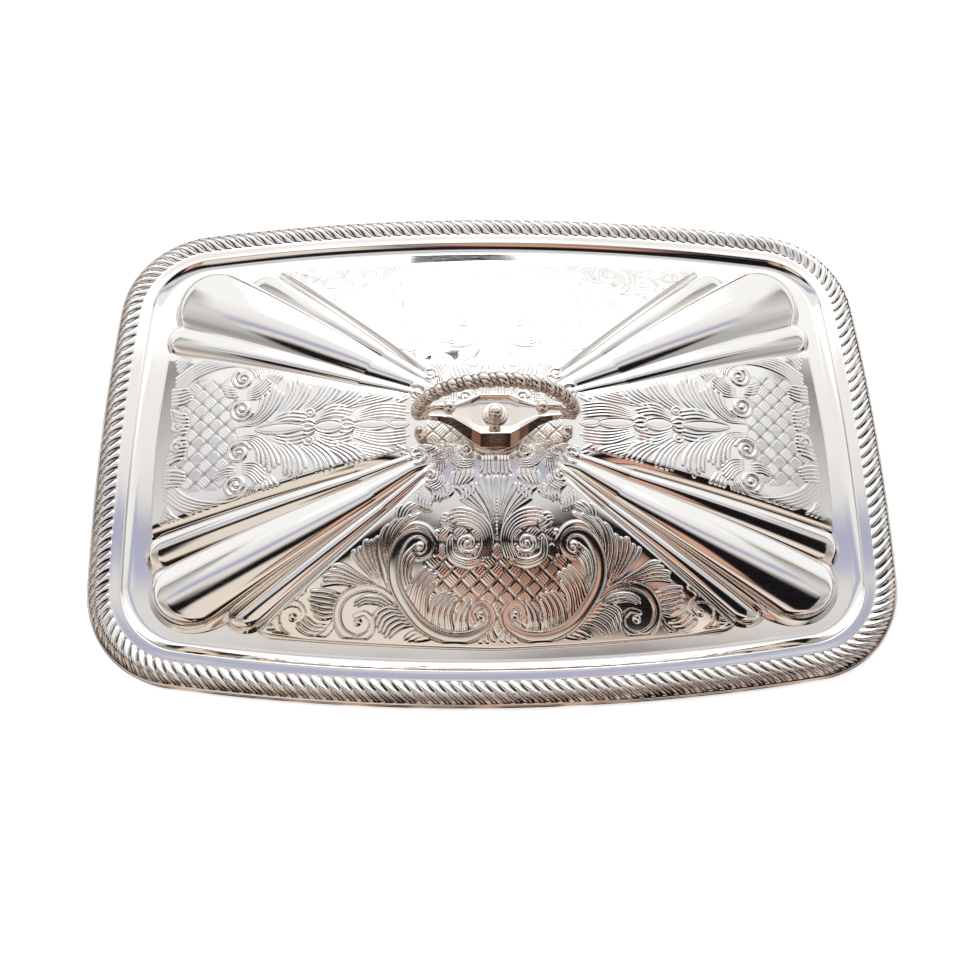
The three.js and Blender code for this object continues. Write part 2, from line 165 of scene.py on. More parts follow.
def put_piece(name: str, skin: Skin, finish: bpy.types.Material, body: Body,
              replaced: tuple[str, ...], sharp_degrees: float | None = None) -> bpy.types.Object:
    """Make a piece from a skin, dress it and hang it on its body.

    Args:
        name: Name of the new object.
        skin: Its surface, in millimetres.
        finish: Its material.
        body: The body that it rides on.
        replaced: CAD nodes that it stands for.
        sharp_degrees: Faces that meet at more than this angle keep a hard edge.

    Returns:
        The finished object.
    """
    mesh = bpy.data.meshes.new(name)
    mesh.vertices.add(len(skin.points))
    mesh.vertices.foreach_set("co", (skin.points * MM).astype(np.float32).ravel())
    mesh.loops.add(skin.quads.size)
    mesh.loops.foreach_set("vertex_index", skin.quads.astype(np.int32).ravel())
    mesh.polygons.add(len(skin.quads))
    mesh.polygons.foreach_set("loop_start", np.arange(0, skin.quads.size, 4, dtype=np.int32))
    mesh.update(calc_edges=True)
    mesh.validate()
    mesh.shade_smooth()
    if sharp_degrees is not None:
        mesh.set_sharp_from_angle(angle=math.radians(sharp_degrees))
    for key, values in skin.values.items():
        attribute = mesh.attributes.new(key, "FLOAT", "POINT")
        attribute.data.foreach_set("value", values.astype(np.float32))
    if skin.normals is not None:
        mesh.normals_split_custom_set_from_vertices(skin.normals.reshape(-1, 3).astype(np.float32))
    mesh.materials.append(finish)
    piece = bpy.data.objects.new(name, mesh)
    bpy.context.scene.collection.objects.link(piece)
    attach(piece, body.value)
    if replaced:
        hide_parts(*replaced)
    LOG.info("%s: %d faces on %s", name, len(skin.quads), body.value)
    return piece


def smooth_curve(points: np.ndarray | list, step: float = 0.12, per_knot: int = 24) -> np.ndarray:
    """Evenly spaced points on the Catmull-Rom curve through the given ones.

    Args:
        points: Points that the curve passes through, in two or three dimensions.
        step: Spacing along the curve.
        per_knot: Points worked out from one given point to the next, before they are spaced evenly.

    Returns:
        The curve's points.
    """
    knots = np.asarray(points, dtype=float)
    knots = np.vstack([2 * knots[0] - knots[1], knots, 2 * knots[-1] - knots[-2]])
    a, b, c, d = (knots[i:len(knots) - 3 + i, None, :] for i in range(4))
    t = np.linspace(0, 1, per_knot, endpoint=False)[None, :, None]
    curve = 0.5 * (2 * b + (c - a) * t + (2 * a - 5 * b + 4 * c - d) * t**2
                   + (3 * b - a - 3 * c + d) * t**3)
    curve = np.vstack([curve.reshape(-1, knots.shape[1]), knots[-2]])
    run = np.concatenate([[0], np.cumsum(np.linalg.norm(np.diff(curve, axis=0), axis=1))])
    places = np.linspace(0, run[-1], max(2, int(run[-1] / step) + 1))
    return np.stack([np.interp(places, run, curve[:, axis]) for axis in range(knots.shape[1])], axis=1)


def bearings(count: int) -> np.ndarray:
    """Evenly spaced angles of one full turn, in radians."""
    return np.linspace(0, 2 * math.pi, count, endpoint=False)


def about_axis(radius: np.ndarray, bearing: np.ndarray, z: np.ndarray) -> np.ndarray:
    """Points of a grid at radii and bearings about the vertical axis, and at heights spread to fit."""
    plan = (radius * np.cos(bearing), radius * np.sin(bearing))
    return np.stack([*plan, np.broadcast_to(z, plan[0].shape)], axis=2)


def raised(profile: tuple, z: float) -> list:
    """Profile of radii and heights, lifted by z."""
    return [(radius, z + height) for radius, height in profile]


def turned(profile: np.ndarray | list, sides: int = 96) -> Skin:
    """Turned piece: a closed [radius, height] profile carried round the vertical axis.

    Args:
        profile: Radii and heights. Ends on the axis close as poles.
        sides: Number of steps round.

    Returns:
        The closed skin.
    """
    outline = np.asarray(profile, dtype=float)
    grid = about_axis(outline[:, 0], bearings(sides)[:, None], outline[:, 1])
    return Skin.from_grid(grid, close_rows=True, close_columns=True).facing()


def capped(grid: np.ndarray) -> Skin:
    """Closed tube: rings of points by row, with the first and last ring drawn in to their middles.

    Args:
        grid: Points by ring and place round it.

    Returns:
        The closed skin.
    """
    ends = [np.broadcast_to(grid[i].mean(axis=0), (1, *grid.shape[1:])) for i in (0, -1)]
    return Skin.from_grid(np.concatenate([ends[0], grid, ends[1]], axis=0), close_columns=True).facing()


def softened(profile: tuple | list, radius: float, steps: int = 3) -> np.ndarray:
    """Profile whose corners are rounded by quadratic curves that start a radius from each corner.

    Args:
        profile: Closed outline.
        radius: How far from a corner its rounding starts, at most 0.4 of an edge.
        steps: Segments in each rounding.

    Returns:
        The rounded outline.
    """
    corner = np.asarray(profile, dtype=float)
    before = np.roll(corner, 1, axis=0) - corner
    after = np.roll(corner, -1, axis=0) - corner
    length_before = np.linalg.norm(before, axis=1, keepdims=True)
    length_after = np.linalg.norm(after, axis=1, keepdims=True)
    start = corner + before / length_before * np.minimum(radius, 0.4 * length_before)
    end = corner + after / length_after * np.minimum(radius, 0.4 * length_after)
    t = np.linspace(0, 1, steps + 1)[None, :, None]
    curve = (1 - t)**2 * start[:, None] + 2 * t * (1 - t) * corner[:, None] + t**2 * end[:, None]
    return curve.reshape(-1, 2)


def smoothstep(value: np.ndarray | float) -> np.ndarray:
    """Smooth rise from 0 to 1 over the unit interval: 3t² - 2t³."""
    t = np.clip(value, 0, 1)
    return t * t * (3 - 2 * t)


# Finishes


def linear(hex_colour: str) -> tuple[float, float, float, float]:
    """Linear colour of an sRGB hex value such as #F2EFEA."""
    parts = [int(hex_colour[i:i + 2], 16) / 255 for i in (1, 3, 5)]
    return (*[p / 12.92 if p <= 0.04045 else ((p + 0.055) / 1.055)**2.4 for p in parts], 1.0)


def add_node(tree: bpy.types.NodeTree, kind: str, inputs: dict | None = None, stops: tuple | list = (),
             **settings) -> bpy.types.Node:
    """Add a shader node.

    Args:
        tree: The tree that it goes into.
        kind: Its type name after ShaderNode.
        inputs: Values or output sockets by input name or number.
        stops: Place from 0 to 1 and sRGB hex colour of each stop, where the node is a colour ramp.
        **settings: Properties set on the node itself.

    Returns:
        The new node.
    """
    node = tree.nodes.new("ShaderNode" + kind)
    for key, value in settings.items():
        setattr(node, key, value)
    for key, value in (inputs or {}).items():
        if isinstance(value, bpy.types.NodeSocket):
            tree.links.new(value, node.inputs[key])
        else:
            node.inputs[key].default_value = value
    if stops:
        elements = node.color_ramp.elements
        while len(elements) < len(stops):
            elements.new(0.5)
        for element, (place, colour) in zip(elements, stops):
            element.position = place
            element.color = linear(colour)
    return node


def blank_material(name: str) -> tuple[bpy.types.Material, bpy.types.NodeTree]:
    """New material and its empty tree.

    Args:
        name: What the real material is.

    Returns:
        The material and its tree.
    """
    material = bpy.data.materials.new(name)
    material.use_nodes = True
    material.node_tree.nodes.clear()
    return material, material.node_tree


@dataclass(frozen=True)
class SilverPlate:
    """Electroplated silver on nickel silver, buffed with rouge.

    A near mirror with a faintly warm white, hairlines from years of polishing cloths that only just
    widen a highlight, and a soft waviness where the sheet was pressed and planished. The hollows that
    a cloth does not reach are darkened grey-brown, partly by tarnish and partly by painted shade.
    """

    name: str
    colour: str = "#F6F4F1"
    # Colour of the hollows: partly tarnish, partly painted shade.
    tarnish_and_shade: str = "#4A403A"
    tarnish_and_shade_reach: float = 1.9
    haze_mm: float = 14.0
    roughness: float = 0.055
    roughness_spread: float = 0.05
    hollow_roughness: float = 0.16
    hairline_mm: float = 0.6
    hairline_turn: float = 0.5
    hairline_stretch: float = 14.0
    hairline_depth_mm: float = 0.002
    wave_mm: float = 22.0
    wave_height_mm: float = 0.012

    def build(self) -> bpy.types.Material:
        """Make the material from its noise, hairlines, and tarnish with painted shade in the hollows.

        Returns:
            The material. Tarnish and painted shade follow a piece's recess values, where it has them.
        """
        material, tree = blank_material(self.name)
        place = add_node(tree, "TexCoord").outputs["Object"]
        haze = add_node(tree, "TexNoise", {"Vector": place, "Scale": 1 / (self.haze_mm * MM), "Detail": 3.0})
        stretch = add_node(tree, "Mapping", {"Vector": place, "Rotation": (0.0, 0.0, self.hairline_turn),
                                             "Scale": (1.0, self.hairline_stretch, 1.0)})
        hair = add_node(tree, "TexNoise", {
            "Vector": stretch.outputs[0], "Detail": 2.0,
            "Scale": 1 / (self.hairline_mm * MM * self.hairline_stretch)})
        wave = add_node(tree, "TexNoise", {"Vector": place, "Scale": 1 / (self.wave_mm * MM), "Detail": 1.0})
        # Painted shade: the recess values, varied by noise, mix the colour towards a dark grey-brown that is
        # partly tarnish and partly painted shade in the hollows.
        hollow = add_node(tree, "Attribute", attribute_name="recess").outputs["Fac"]
        amount = add_node(tree, "Math", {0: hollow, 1: haze.outputs["Fac"]}, operation="MULTIPLY")
        shade = add_node(tree, "Math", {0: amount.outputs[0], 1: self.tarnish_and_shade_reach}, operation="MULTIPLY",
                         use_clamp=True)
        colour = add_node(tree, "Mix", {"Factor": shade.outputs[0], "A": linear(self.colour),
                                        "B": linear(self.tarnish_and_shade)}, data_type="RGBA")
        spread = add_node(tree, "MapRange", {
            "Value": hair.outputs["Fac"], "From Min": 0.35, "From Max": 0.75,
            "To Min": self.roughness, "To Max": self.roughness + self.roughness_spread})
        dull = add_node(tree, "Math", {0: hollow, 1: self.hollow_roughness, 2: spread.outputs[0]},
                        operation="MULTIPLY_ADD")
        sheet = add_node(tree, "Bump", {"Height": wave.outputs["Fac"], "Strength": 1.0,
                                        "Distance": self.wave_height_mm * MM})
        hairs = add_node(tree, "Bump", {"Height": hair.outputs["Fac"], "Strength": 0.35,
                                        "Distance": self.hairline_depth_mm * MM, "Normal": sheet.outputs[0]})
        shader = add_node(tree, "BsdfPrincipled", {"Base Color": colour.outputs["Result"], "Metallic": 1.0,
                                                   "Roughness": dull.outputs[0], "Normal": hairs.outputs[0]})
        add_node(tree, "OutputMaterial", {"Surface": shader.outputs[0]})
        return material


@dataclass(frozen=True)
class TurnedBrass:
    """Free-cutting brass, turned and left unplated: yellow, with fine lathe rings and a dull film."""

    name: str = "turned_brass"
    colour: str = "#C9A45C"
    film: str = "#8A6B3C"
    film_mm: float = 5.0
    film_roughness: tuple[float, float] = (0.24, 0.42)
    ring_mm: float = 1.5708
    ring_depth_mm: float = 0.01

    def build(self) -> bpy.types.Material:
        """Make the material from lathe rings and a patchy film.

        Returns:
            The material.
        """
        material, tree = blank_material(self.name)
        place = add_node(tree, "TexCoord").outputs["Object"]
        patch = add_node(tree, "TexNoise", {"Vector": place, "Scale": 1 / (self.film_mm * MM), "Detail": 4.0})
        # A wave texture turns through 20 radians a unit at scale 1. Real rings are finer than these.
        rings = add_node(tree, "TexWave", {"Vector": place, "Scale": 2 * math.pi / (20 * self.ring_mm * MM),
                                           "Distortion": 0.6}, wave_type="RINGS", rings_direction="Z")
        colour = add_node(tree, "Mix", {"Factor": patch.outputs["Fac"], "A": linear(self.colour),
                                        "B": linear(self.film)}, data_type="RGBA")
        spread = add_node(tree, "MapRange", {"Value": patch.outputs["Fac"], "To Min": self.film_roughness[0],
                                             "To Max": self.film_roughness[1]})
        bump = add_node(tree, "Bump", {"Height": rings.outputs["Fac"], "Strength": 0.4,
                                       "Distance": self.ring_depth_mm * MM})
        shader = add_node(tree, "BsdfPrincipled", {"Base Color": colour.outputs["Result"], "Metallic": 1.0,
                                                   "Roughness": spread.outputs[0], "Normal": bump.outputs[0]})
        add_node(tree, "OutputMaterial", {"Surface": shader.outputs[0]})
        return material


# Plan of the rim


def all_round(quarter: np.ndarray) -> np.ndarray:
    """Closed ring made of one quarter, which starts and ends on an axis, and its mirror images.

    Args:
        quarter: Points of the first quarter by step round it and place across it.

    Returns:
        Points by step all round, anticlockwise.
    """
    parts = [(quarter if x * y > 0 else quarter[::-1])[:-1] * np.array([x, y, 1]) for x, y in QUARTERS]
    return np.concatenate(parts, axis=0)


def carried(edge: np.ndarray, normal: np.ndarray, section: tuple | np.ndarray) -> np.ndarray:
    """Section of the rim carried along it.

    Args:
        edge: Outer points of the rim, by step.
        normal: Outward normals there.
        section: Distances in from the edge, and heights.

    Returns:
        Points by step and place in the section.
    """
    outline = np.asarray(section)
    plan = edge[:, None] - normal[:, None] * outline[None, :, :1]
    heights = np.broadcast_to(outline[None, :, 1:], (*plan.shape[:2], 1))
    return np.concatenate([plan, heights], axis=2)


@dataclass
class RimPlan:
    """Outline of the rim: four bowed sides joined by round corners, each a circular arc."""

    half_length: float = 172.5
    half_width: float = 117.9
    long_bow: float = 16.6
    short_bow: float = 6.5
    corner_radius: float = 44.2
    centres: np.ndarray = field(init=False)
    radii: np.ndarray = field(init=False)
    starts: np.ndarray = field(init=False)
    ends: np.ndarray = field(init=False)
    lengths: np.ndarray = field(init=False)
    quarter: float = field(init=False)

    def __post_init__(self) -> None:
        """Work out the three arcs of the first quarter."""
        long_radius = (self.half_length**2 + self.long_bow**2) / (2 * self.long_bow)
        short_radius = (self.half_width**2 + self.short_bow**2) / (2 * self.short_bow)
        long_centre = np.array([0, self.half_width - long_radius])
        short_centre = np.array([self.half_length - short_radius, 0])
        reach = long_radius - self.corner_radius
        gap = np.linalg.norm(long_centre - short_centre)
        along = (reach**2 - (short_radius - self.corner_radius)**2 + gap**2) / (2 * gap)
        off = math.sqrt(reach**2 - along**2)
        way = (short_centre - long_centre) / gap
        corner = long_centre + along * way + off * np.array([way[1], -way[0]])
        start = math.atan2(corner[1], corner[0] - short_centre[0])
        end = math.atan2(corner[1] - long_centre[1], corner[0])
        self.centres = np.array([short_centre, corner, long_centre])
        self.radii = np.array([short_radius, self.corner_radius, long_radius])
        self.starts = np.array([0, start, end])
        self.ends = np.array([start, end, math.pi / 2])
        self.lengths = self.radii * (self.ends - self.starts)
        self.quarter = float(self.lengths.sum())

    def on_arc(self, which: np.ndarray, angle: np.ndarray) -> tuple[np.ndarray, np.ndarray]:
        """Outer points and outward normals at angles on the numbered arcs."""
        normal = np.stack([np.cos(angle), np.sin(angle)], axis=-1)
        return self.centres[which] + self.radii[which][..., None] * normal, normal

    def near(self, plan: np.ndarray) -> tuple[np.ndarray, np.ndarray]:
        """Rim points and normals square to plan points of the first quarter.

        Args:
            plan: Plan points, last axis x and y.

        Returns:
            Outer points of the rim and their outward normals.
        """
        from_corner = plan - self.centres[1]
        bearing = np.arctan2(from_corner[..., 1], from_corner[..., 0])
        which = np.where(bearing < self.ends[0], 0, np.where(bearing > self.ends[1], 2, 1))
        offset = plan - self.centres[which]
        return self.on_arc(which, np.arctan2(offset[..., 1], offset[..., 0]))

    def along(self, distance: np.ndarray) -> tuple[np.ndarray, np.ndarray]:
        """Rim points and normals at distances round the rim, anticlockwise from the +X axis.

        Args:
            distance: Distances in millimetres.

        Returns:
            Outer points of the rim and their outward normals.
        """
        place = np.mod(distance, 4 * self.quarter)
        quarter = np.minimum(3, (place / self.quarter).astype(int))
        way = place - quarter * self.quarter
        way = np.where(quarter % 2 == 1, self.quarter - way, way)
        edges = np.cumsum(self.lengths)
        which = np.where(way <= edges[0], 0, np.where(way <= edges[1], 1, 2))
        before = np.concatenate([[0], edges[:2]])[which]
        point, normal = self.on_arc(which, self.starts[which] + (way - before) / self.radii[which])
        sign = np.array(QUARTERS)[quarter]
        return point * sign, normal * sign


# Chased ornament


class Section(Enum):
    """Shape across a chased stroke, from its middle to its edge."""

    ROUND = ((0.0, 0.3, 0.55, 0.75, 0.9, 1.0), (1.0, 0.92, 0.72, 0.45, 0.2, 0.0))
    REEDED = ((0.0, 0.15, 0.36, 0.42, 0.5, 0.66, 0.8, 0.92, 1.0),
              (1.0, 0.95, 0.62, 0.6, 0.66, 0.84, 0.7, 0.35, 0.0))
    RIMMED = ((0.0, 0.4, 0.6, 0.66, 0.74, 0.84, 0.92, 1.0),
              (0.62, 0.56, 0.46, 0.44, 0.8, 1.0, 0.7, 0.0))

    @property
    def places(self) -> tuple[float, ...]:
        """Distances from the middle, as shares of the half width."""
        return self.value[0]

    @property
    def heights(self) -> tuple[float, ...]:
        """Heights at those distances, as shares of the full height."""
        return self.value[1]


@dataclass
class Ornament:
    """Chased scrollwork of one quarter, as a map of heights over the plan.

    Every stroke is a ridge whose height follows a section across it, and where strokes overlap the
    higher one stays. Leaves are fans of strokes that fill the strip between two guide curves. The
    other quarters mirror this one, but the basket weave runs across the axes unmirrored. Motifs are
    drawn in plan millimetres, and lay is the scale and the shift along Y with which they are chased.
    """

    pitch: float = 0.15
    extent: tuple[float, float] = (150.0, 98.0)
    weave_cell: float = 5.3
    weave_line: float = 1.06
    weave_height: float = 0.07
    weave_sink: float = 0.08
    far_fade: float = 0.5
    samples: int = 90
    stroke_step: float = 0.3
    hollow_blur: int = 9
    side_lay: tuple[float, float] = (0.92, 5.6)
    lay: tuple[float, float] = (1.0, 0.0)
    heights: np.ndarray = field(init=False)
    cover: np.ndarray = field(init=False)
    recess: np.ndarray = field(init=False)

    def __post_init__(self) -> None:
        """Start from a blank map, chase every motif into it, and find the hollows between them.

        A hollow is where the map lies lower than its own blurred copy, on chased ground.
        """
        self.heights = np.zeros(tuple(int(side / self.pitch) + 2 for side in self.extent))
        flat = self.lay
        self.lay = self.side_lay
        self.side_panel()
        self.lay = flat
        self.end_panel()
        self.centre()
        self.cover = self.blurred(self.heights, self.hollow_blur)
        # The recess map sets where the hollows are darkened: partly tarnish, partly painted shade.
        self.recess = np.clip((self.cover * 1.2 - self.heights - 0.05) / 0.2, 0, 1) * (self.cover > 0.03)

    def blurred(self, layer: np.ndarray, cells: int) -> np.ndarray:
        """Box blur of a map by running sums.

        Args:
            layer: The map.
            cells: Odd number of cells to a side of the box.

        Returns:
            The blurred map.
        """
        for axis in (0, 1):
            padded = np.apply_along_axis(np.cumsum, axis, np.pad(layer, [
                (cells // 2 + 1, cells // 2) if a == axis else (0, 0) for a in (0, 1)], mode="edge"))
            layer = (np.take(padded, range(cells, padded.shape[axis]), axis)
                     - np.take(padded, range(padded.shape[axis] - cells), axis)) / cells
        return layer

    def curve(self, points: list | np.ndarray) -> np.ndarray:
        """Smooth curve through points, laid on its panel.

        Args:
            points: Points that it passes through, as drawn.

        Returns:
            Evenly spaced samples of it.
        """
        path = smooth_curve(self.laid(np.asarray(points, dtype=float)))
        places = np.linspace(0, len(path) - 1, self.samples)
        return np.stack([np.interp(places, np.arange(len(path)), path[:, axis]) for axis in (0, 1)], axis=1)

    def laid(self, drawn: np.ndarray) -> np.ndarray:
        """Plan points of drawn ones, scaled and shifted along Y by the lay."""
        return drawn * [1, self.lay[0]] + [0, self.lay[1]]

    def stroke(self, path: np.ndarray, width: np.ndarray, height: np.ndarray, section: Section) -> None:
        """Stamp one stroke: each cell takes its section height from the nearest point of the path.

        Args:
            path: Plan points.
            width: Half width at each point.
            height: Height at each point.
            section: Shape across the stroke.
        """
        reach = width.max() + self.pitch
        low = np.maximum(0, np.floor((path.min(axis=0) - reach) / self.pitch).astype(int))
        high = np.minimum(self.heights.shape,
                          np.ceil((path.max(axis=0) + reach) / self.pitch).astype(int) + 1)
        if np.any(high <= low):
            return
        columns, rows = (np.arange(low[k], high[k]) * self.pitch for k in (0, 1))
        share = np.full((columns.size, rows.size), np.inf)
        full = np.zeros_like(share)
        steps = max(2, int(np.linalg.norm(np.diff(path, axis=0), axis=1).sum() / self.stroke_step))
        for place in np.linspace(0, len(path) - 1, steps):
            k = min(int(place), len(path) - 2)
            way = place - k
            point = path[k] * (1 - way) + path[k + 1] * way
            half = max(width[k] * (1 - way) + width[k + 1] * way, 0.05)
            i0, i1 = np.searchsorted(columns, (point[0] - half, point[0] + half))
            j0, j1 = np.searchsorted(rows, (point[1] - half, point[1] + half))
            away = np.hypot(columns[i0:i1, None] - point[0], rows[None, j0:j1] - point[1]) / half
            closer = away < share[i0:i1, j0:j1]
            share[i0:i1, j0:j1] = np.where(closer, away, share[i0:i1, j0:j1])
            full[i0:i1, j0:j1] = np.where(closer, height[k], full[i0:i1, j0:j1])
        value = full * np.interp(share, section.places, section.heights)
        window = self.heights[low[0]:high[0], low[1]:high[1]]
        np.maximum(window, value, out=window)

    def line(self, points: list | np.ndarray, width: float = 0.7, height: float = 0.36,
             taper: tuple[float, float] = (0.35, 0.3), section: Section = Section.ROUND) -> None:
        """Chase one tapering ridge.

        Args:
            points: Points that it passes through.
            width: Half width at its fullest.
            height: Height at its fullest.
            taper: Share of the full width left at its start and at its end.
            section: Shape across it.
        """
        t = np.linspace(0, 1, self.samples)
        share = np.minimum(taper[0] + (1 - taper[0]) * smoothstep(t / 0.3),
                           taper[1] + (1 - taper[1]) * smoothstep((1 - t) / 0.3))
        self.stroke(self.curve(points), width * share, height * share, section)

    def ball(self, place: tuple[float, float], radius: float, height: float = 0.6) -> None:
        """Raise one round boss: a very short stroke as wide as the boss."""
        self.line([place, (place[0] + 0.1, place[1])], radius, height, (1, 1))

    def fan(self, first: list | tuple, last: list | tuple, count: int, height: float = 0.42,
            section: Section | None = None, tips: float = 0.5, flare: float = 0.24) -> None:
        """Leaf whose lobes fill the strip between two guide curves, root first.

        Args:
            first: Points of one edge.
            last: Points of the other edge.
            count: Number of lobes.
            height: Height of a lobe.
            section: Shape across a lobe. None reeds the broad ones and rounds the rest.
            tips: Share of the full width left at a lobe's tip.
            flare: How much further the middle lobes reach than the outer ones, as a share of the length.
        """
        a, b = self.curve(first), self.curve(last)
        t = np.linspace(0, 1, self.samples)
        for k in range(count):
            way = (k + 0.5) / count
            middle = a + (b - a) * np.clip(way - 0.5 * (t[:, None]**3) / count, 0, 1)
            half = np.linalg.norm(b - a, axis=1) / (2 * count)
            keep = 1 - flare * (2 * way - 1)**2 - 0.05 * (k % 2)
            middle = np.stack([np.interp(t * keep, t, middle[:, axis]) for axis in (0, 1)], axis=1)
            half = np.clip(np.interp(t * keep, t, half) * 1.04, 0.3, 3.2)
            rise = 0.45 + 0.55 * smoothstep(t / 0.35)
            fall = tips + (1 - tips) * np.sqrt(np.clip((1 - t) / 0.16, 0, 1))
            shape = section or (Section.REEDED if half.max() > 1.3 else Section.ROUND)
            full = height * rise * (0.55 + 0.45 * np.minimum(1, half / 0.7))
            self.stroke(middle, half * fall, full, shape)

    def volute(self, centre: tuple[float, float], radius: float, start: float, turns: float,
               height: float = 0.55, width: float = 0.9) -> None:
        """Spiral ridge that winds in to a ball.

        Args:
            centre: Middle of the ball.
            radius: Radius where the spiral starts.
            start: Bearing of its start in degrees.
            turns: Turns to the ball, negative for clockwise.
            height: Height of the ridge.
            width: Half width of the ridge.
        """
        t = np.linspace(0, 1, 28)
        bearing = math.radians(start) + 2 * math.pi * turns * t
        reach = radius * (1 - t) + 1.3 * t
        spiral = np.stack([centre[0] + reach * np.cos(bearing), centre[1] + reach * np.sin(bearing)], axis=1)
        self.line(spiral, width, height, (0.8, 0.8))
        self.ball(centre, 1.35, height * 1.1)

    def spine(self, root: tuple[float, float], tip: tuple[float, float], width: float) -> None:
        """Plain husk on an axis: a domed almond with a raised outline.

        Args:
            root: Its root.
            tip: Its tip.
            width: Half width at its middle.
        """
        a, b = np.asarray(root, dtype=float), np.asarray(tip, dtype=float)
        t = np.linspace(0, 1, self.samples)
        half = np.maximum(width * np.sin(math.pi * (0.06 + 0.88 * t))**0.7, 0.3)
        self.stroke(self.laid(a + (b - a) * t[:, None]), half, np.full(t.size, 0.5), Section.RIMMED)

    def side_panel(self) -> None:
        """Cartouche of the long sides: palmette, paired volutes, a plain C-scroll and acanthus sprays."""
        self.fan([(0.4, 48), (0.3, 38), (0.4, 28), (0.5, 19)],
                 [(1.6, 47), (3.4, 37), (8.4, 28), (12.5, 22.5)], 4, 0.34, flare=0.12)
        self.fan([(1.6, 47), (4.0, 38), (9.0, 30), (14.5, 24.5)],
                 [(2.2, 48), (6.5, 38.5), (12.5, 34.2), (17.6, 32.6)], 3, 0.36)
        self.fan([(3.0, 57.5), (1.5, 50), (3.4, 42), (9.6, 36.4), (17.4, 35.4), (23.4, 38.6)],
                 [(8.6, 58), (6.2, 52), (7.6, 46.6), (11.4, 44.2), (15.6, 44), (18.6, 46.2)], 5, 0.46)
        self.volute((12.2, 51.5), 4.3, 150, -1.3, 0.6, 0.9)
        self.fan([(5.0, 60.5), (12.5, 62.5), (19.6, 58.6), (20.4, 51), (18.4, 46.6)],
                 [(8.0, 57.6), (13, 58), (17.4, 55.6), (17.8, 51), (16.6, 47.6)], 2, 0.42)
        self.fan([(17.6, 40.6), (20.4, 37.6), (23.6, 38.8)],
                 [(18.6, 46.0), (21.6, 44.8), (23.8, 42)], 4, 0.4)
        self.ball((24.6, 46.4), 1.2, 0.4)
        for place in np.arange(31, 47, 1.6):
            self.ball((0.0, place), 0.45, 0.3)
        self.fan([(24.4, 57), (24.4, 49), (28.6, 43.2), (34.5, 42.2), (39.5, 46)],
                 [(26.6, 55.6), (26.6, 50.4), (29.8, 45.6), (34.8, 44.8), (38.4, 48)],
                 1, 0.4, Section.ROUND)
        self.line([(34.6, 54.2), (32.6, 57.4), (28.6, 55.6), (27.6, 50.6), (31.4, 46.6), (36.6, 47.6),
                   (40.6, 53), (42.6, 60.4), (42, 68.6), (38.4, 76.6), (31.2, 86), (22, 91), (12.4, 91.4),
                   (4.8, 87.6), (2.6, 82.6), (5.0, 78.4), (8.6, 78.6), (10.6, 81.6), (9.4, 84.6)],
                  2.5, 0.62, (0.5, 0.45), Section.RIMMED)
        self.ball((31.8, 52.4), 1.7, 0.7)
        self.ball((7.0, 82.4), 1.6, 0.65)
        self.fan([(34.0, 51.4), (38.4, 56.4), (39.4, 64), (37, 71.4)],
                 [(32.0, 57), (34.8, 60.6), (35.4, 66), (33.6, 71)], 3, 0.44)
        self.fan([(41.8, 54), (41.4, 47.6), (37, 41.4), (31, 37.6)],
                 [(45.2, 68), (48.6, 56), (48.2, 47.6), (46.0, 41.4)], 6, 0.46, flare=0.08)
        self.fan([(38, 42.4), (35.4, 36.6), (30.6, 33.4)],
                 [(41.4, 41.6), (41.6, 36.4), (40.6, 32.4)], 4, 0.4)
        self.fan([(45.4, 70), (48.6, 60), (49.6, 51.6), (48.6, 47)],
                 [(46.4, 70.4), (53.6, 64), (59.6, 58), (61.6, 54.6)], 5, 0.48, flare=0.1)
        self.fan([(46.6, 71), (55.6, 65), (63, 60.4), (68.6, 60.6)],
                 [(48, 72), (58.4, 69.6), (67, 69), (74.6, 71.6)], 5, 0.48, flare=0.12)
        self.line([(40.6, 76.6), (47.6, 71.4), (55.4, 70.2), (62.2, 73.2), (65.8, 80), (64.2, 87.4),
                   (58, 91.2), (52.6, 88.8), (51.4, 84.4), (54.4, 80.8), (58.4, 81.6)],
                  1.7, 0.58, (0.5, 0.5), Section.RIMMED)
        self.ball((57.2, 84.2), 1.6, 0.6)
        self.fan([(41.4, 78), (47, 73.8), (54.4, 73.4), (60.4, 77)],
                 [(43, 80.8), (48.4, 77.8), (54, 77.2), (57.6, 79.6)], 3, 0.46)
        self.fan([(39.4, 78.6), (45.4, 77.4), (50.4, 80.4), (50.8, 86)],
                 [(34, 86.4), (38.6, 87.4), (42, 90), (44, 93)], 6, 0.48, flare=0.1)
        self.fan([(32, 88), (36, 88.8), (39, 92)], [(26, 91.6), (30, 92.4), (33, 94)], 3, 0.4)
        self.fan([(63.4, 72.4), (70.6, 70.6), (77.4, 71.4)],
                 [(67, 82), (71.4, 83.4), (76, 81.4)], 6, 0.46, flare=0.15)
        self.line([(66.6, 78), (67.6, 85), (73.6, 90.4), (82.4, 91.2), (89, 87.6), (90.6, 81.6), (87, 77),
                   (81.6, 76.8), (79.2, 80.4), (81.4, 83.6)], 1.5, 0.56, (0.5, 0.5), Section.RIMMED)
        self.ball((83.6, 82), 1.6, 0.6)
        self.fan([(69, 85), (74.4, 84.4), (79, 81.4)], [(72, 89.4), (78, 89.2), (84.6, 86)], 3, 0.42)
        self.fan([(82, 75.4), (80.6, 72.6), (77.6, 70.6)],
                 [(88.6, 76.6), (89.4, 73.6), (88.4, 71)], 4, 0.4)
        self.fan([(90.6, 79), (93, 80), (95.4, 82.4)], [(88, 89), (91, 90), (94.4, 89.6)], 4, 0.4)
        self.fan([(38, 73.6), (35, 67), (31, 62.6), (27.6, 61)],
                 [(29, 84), (28.8, 76), (25.6, 70.4), (22.4, 68.4)], 4, 0.46)
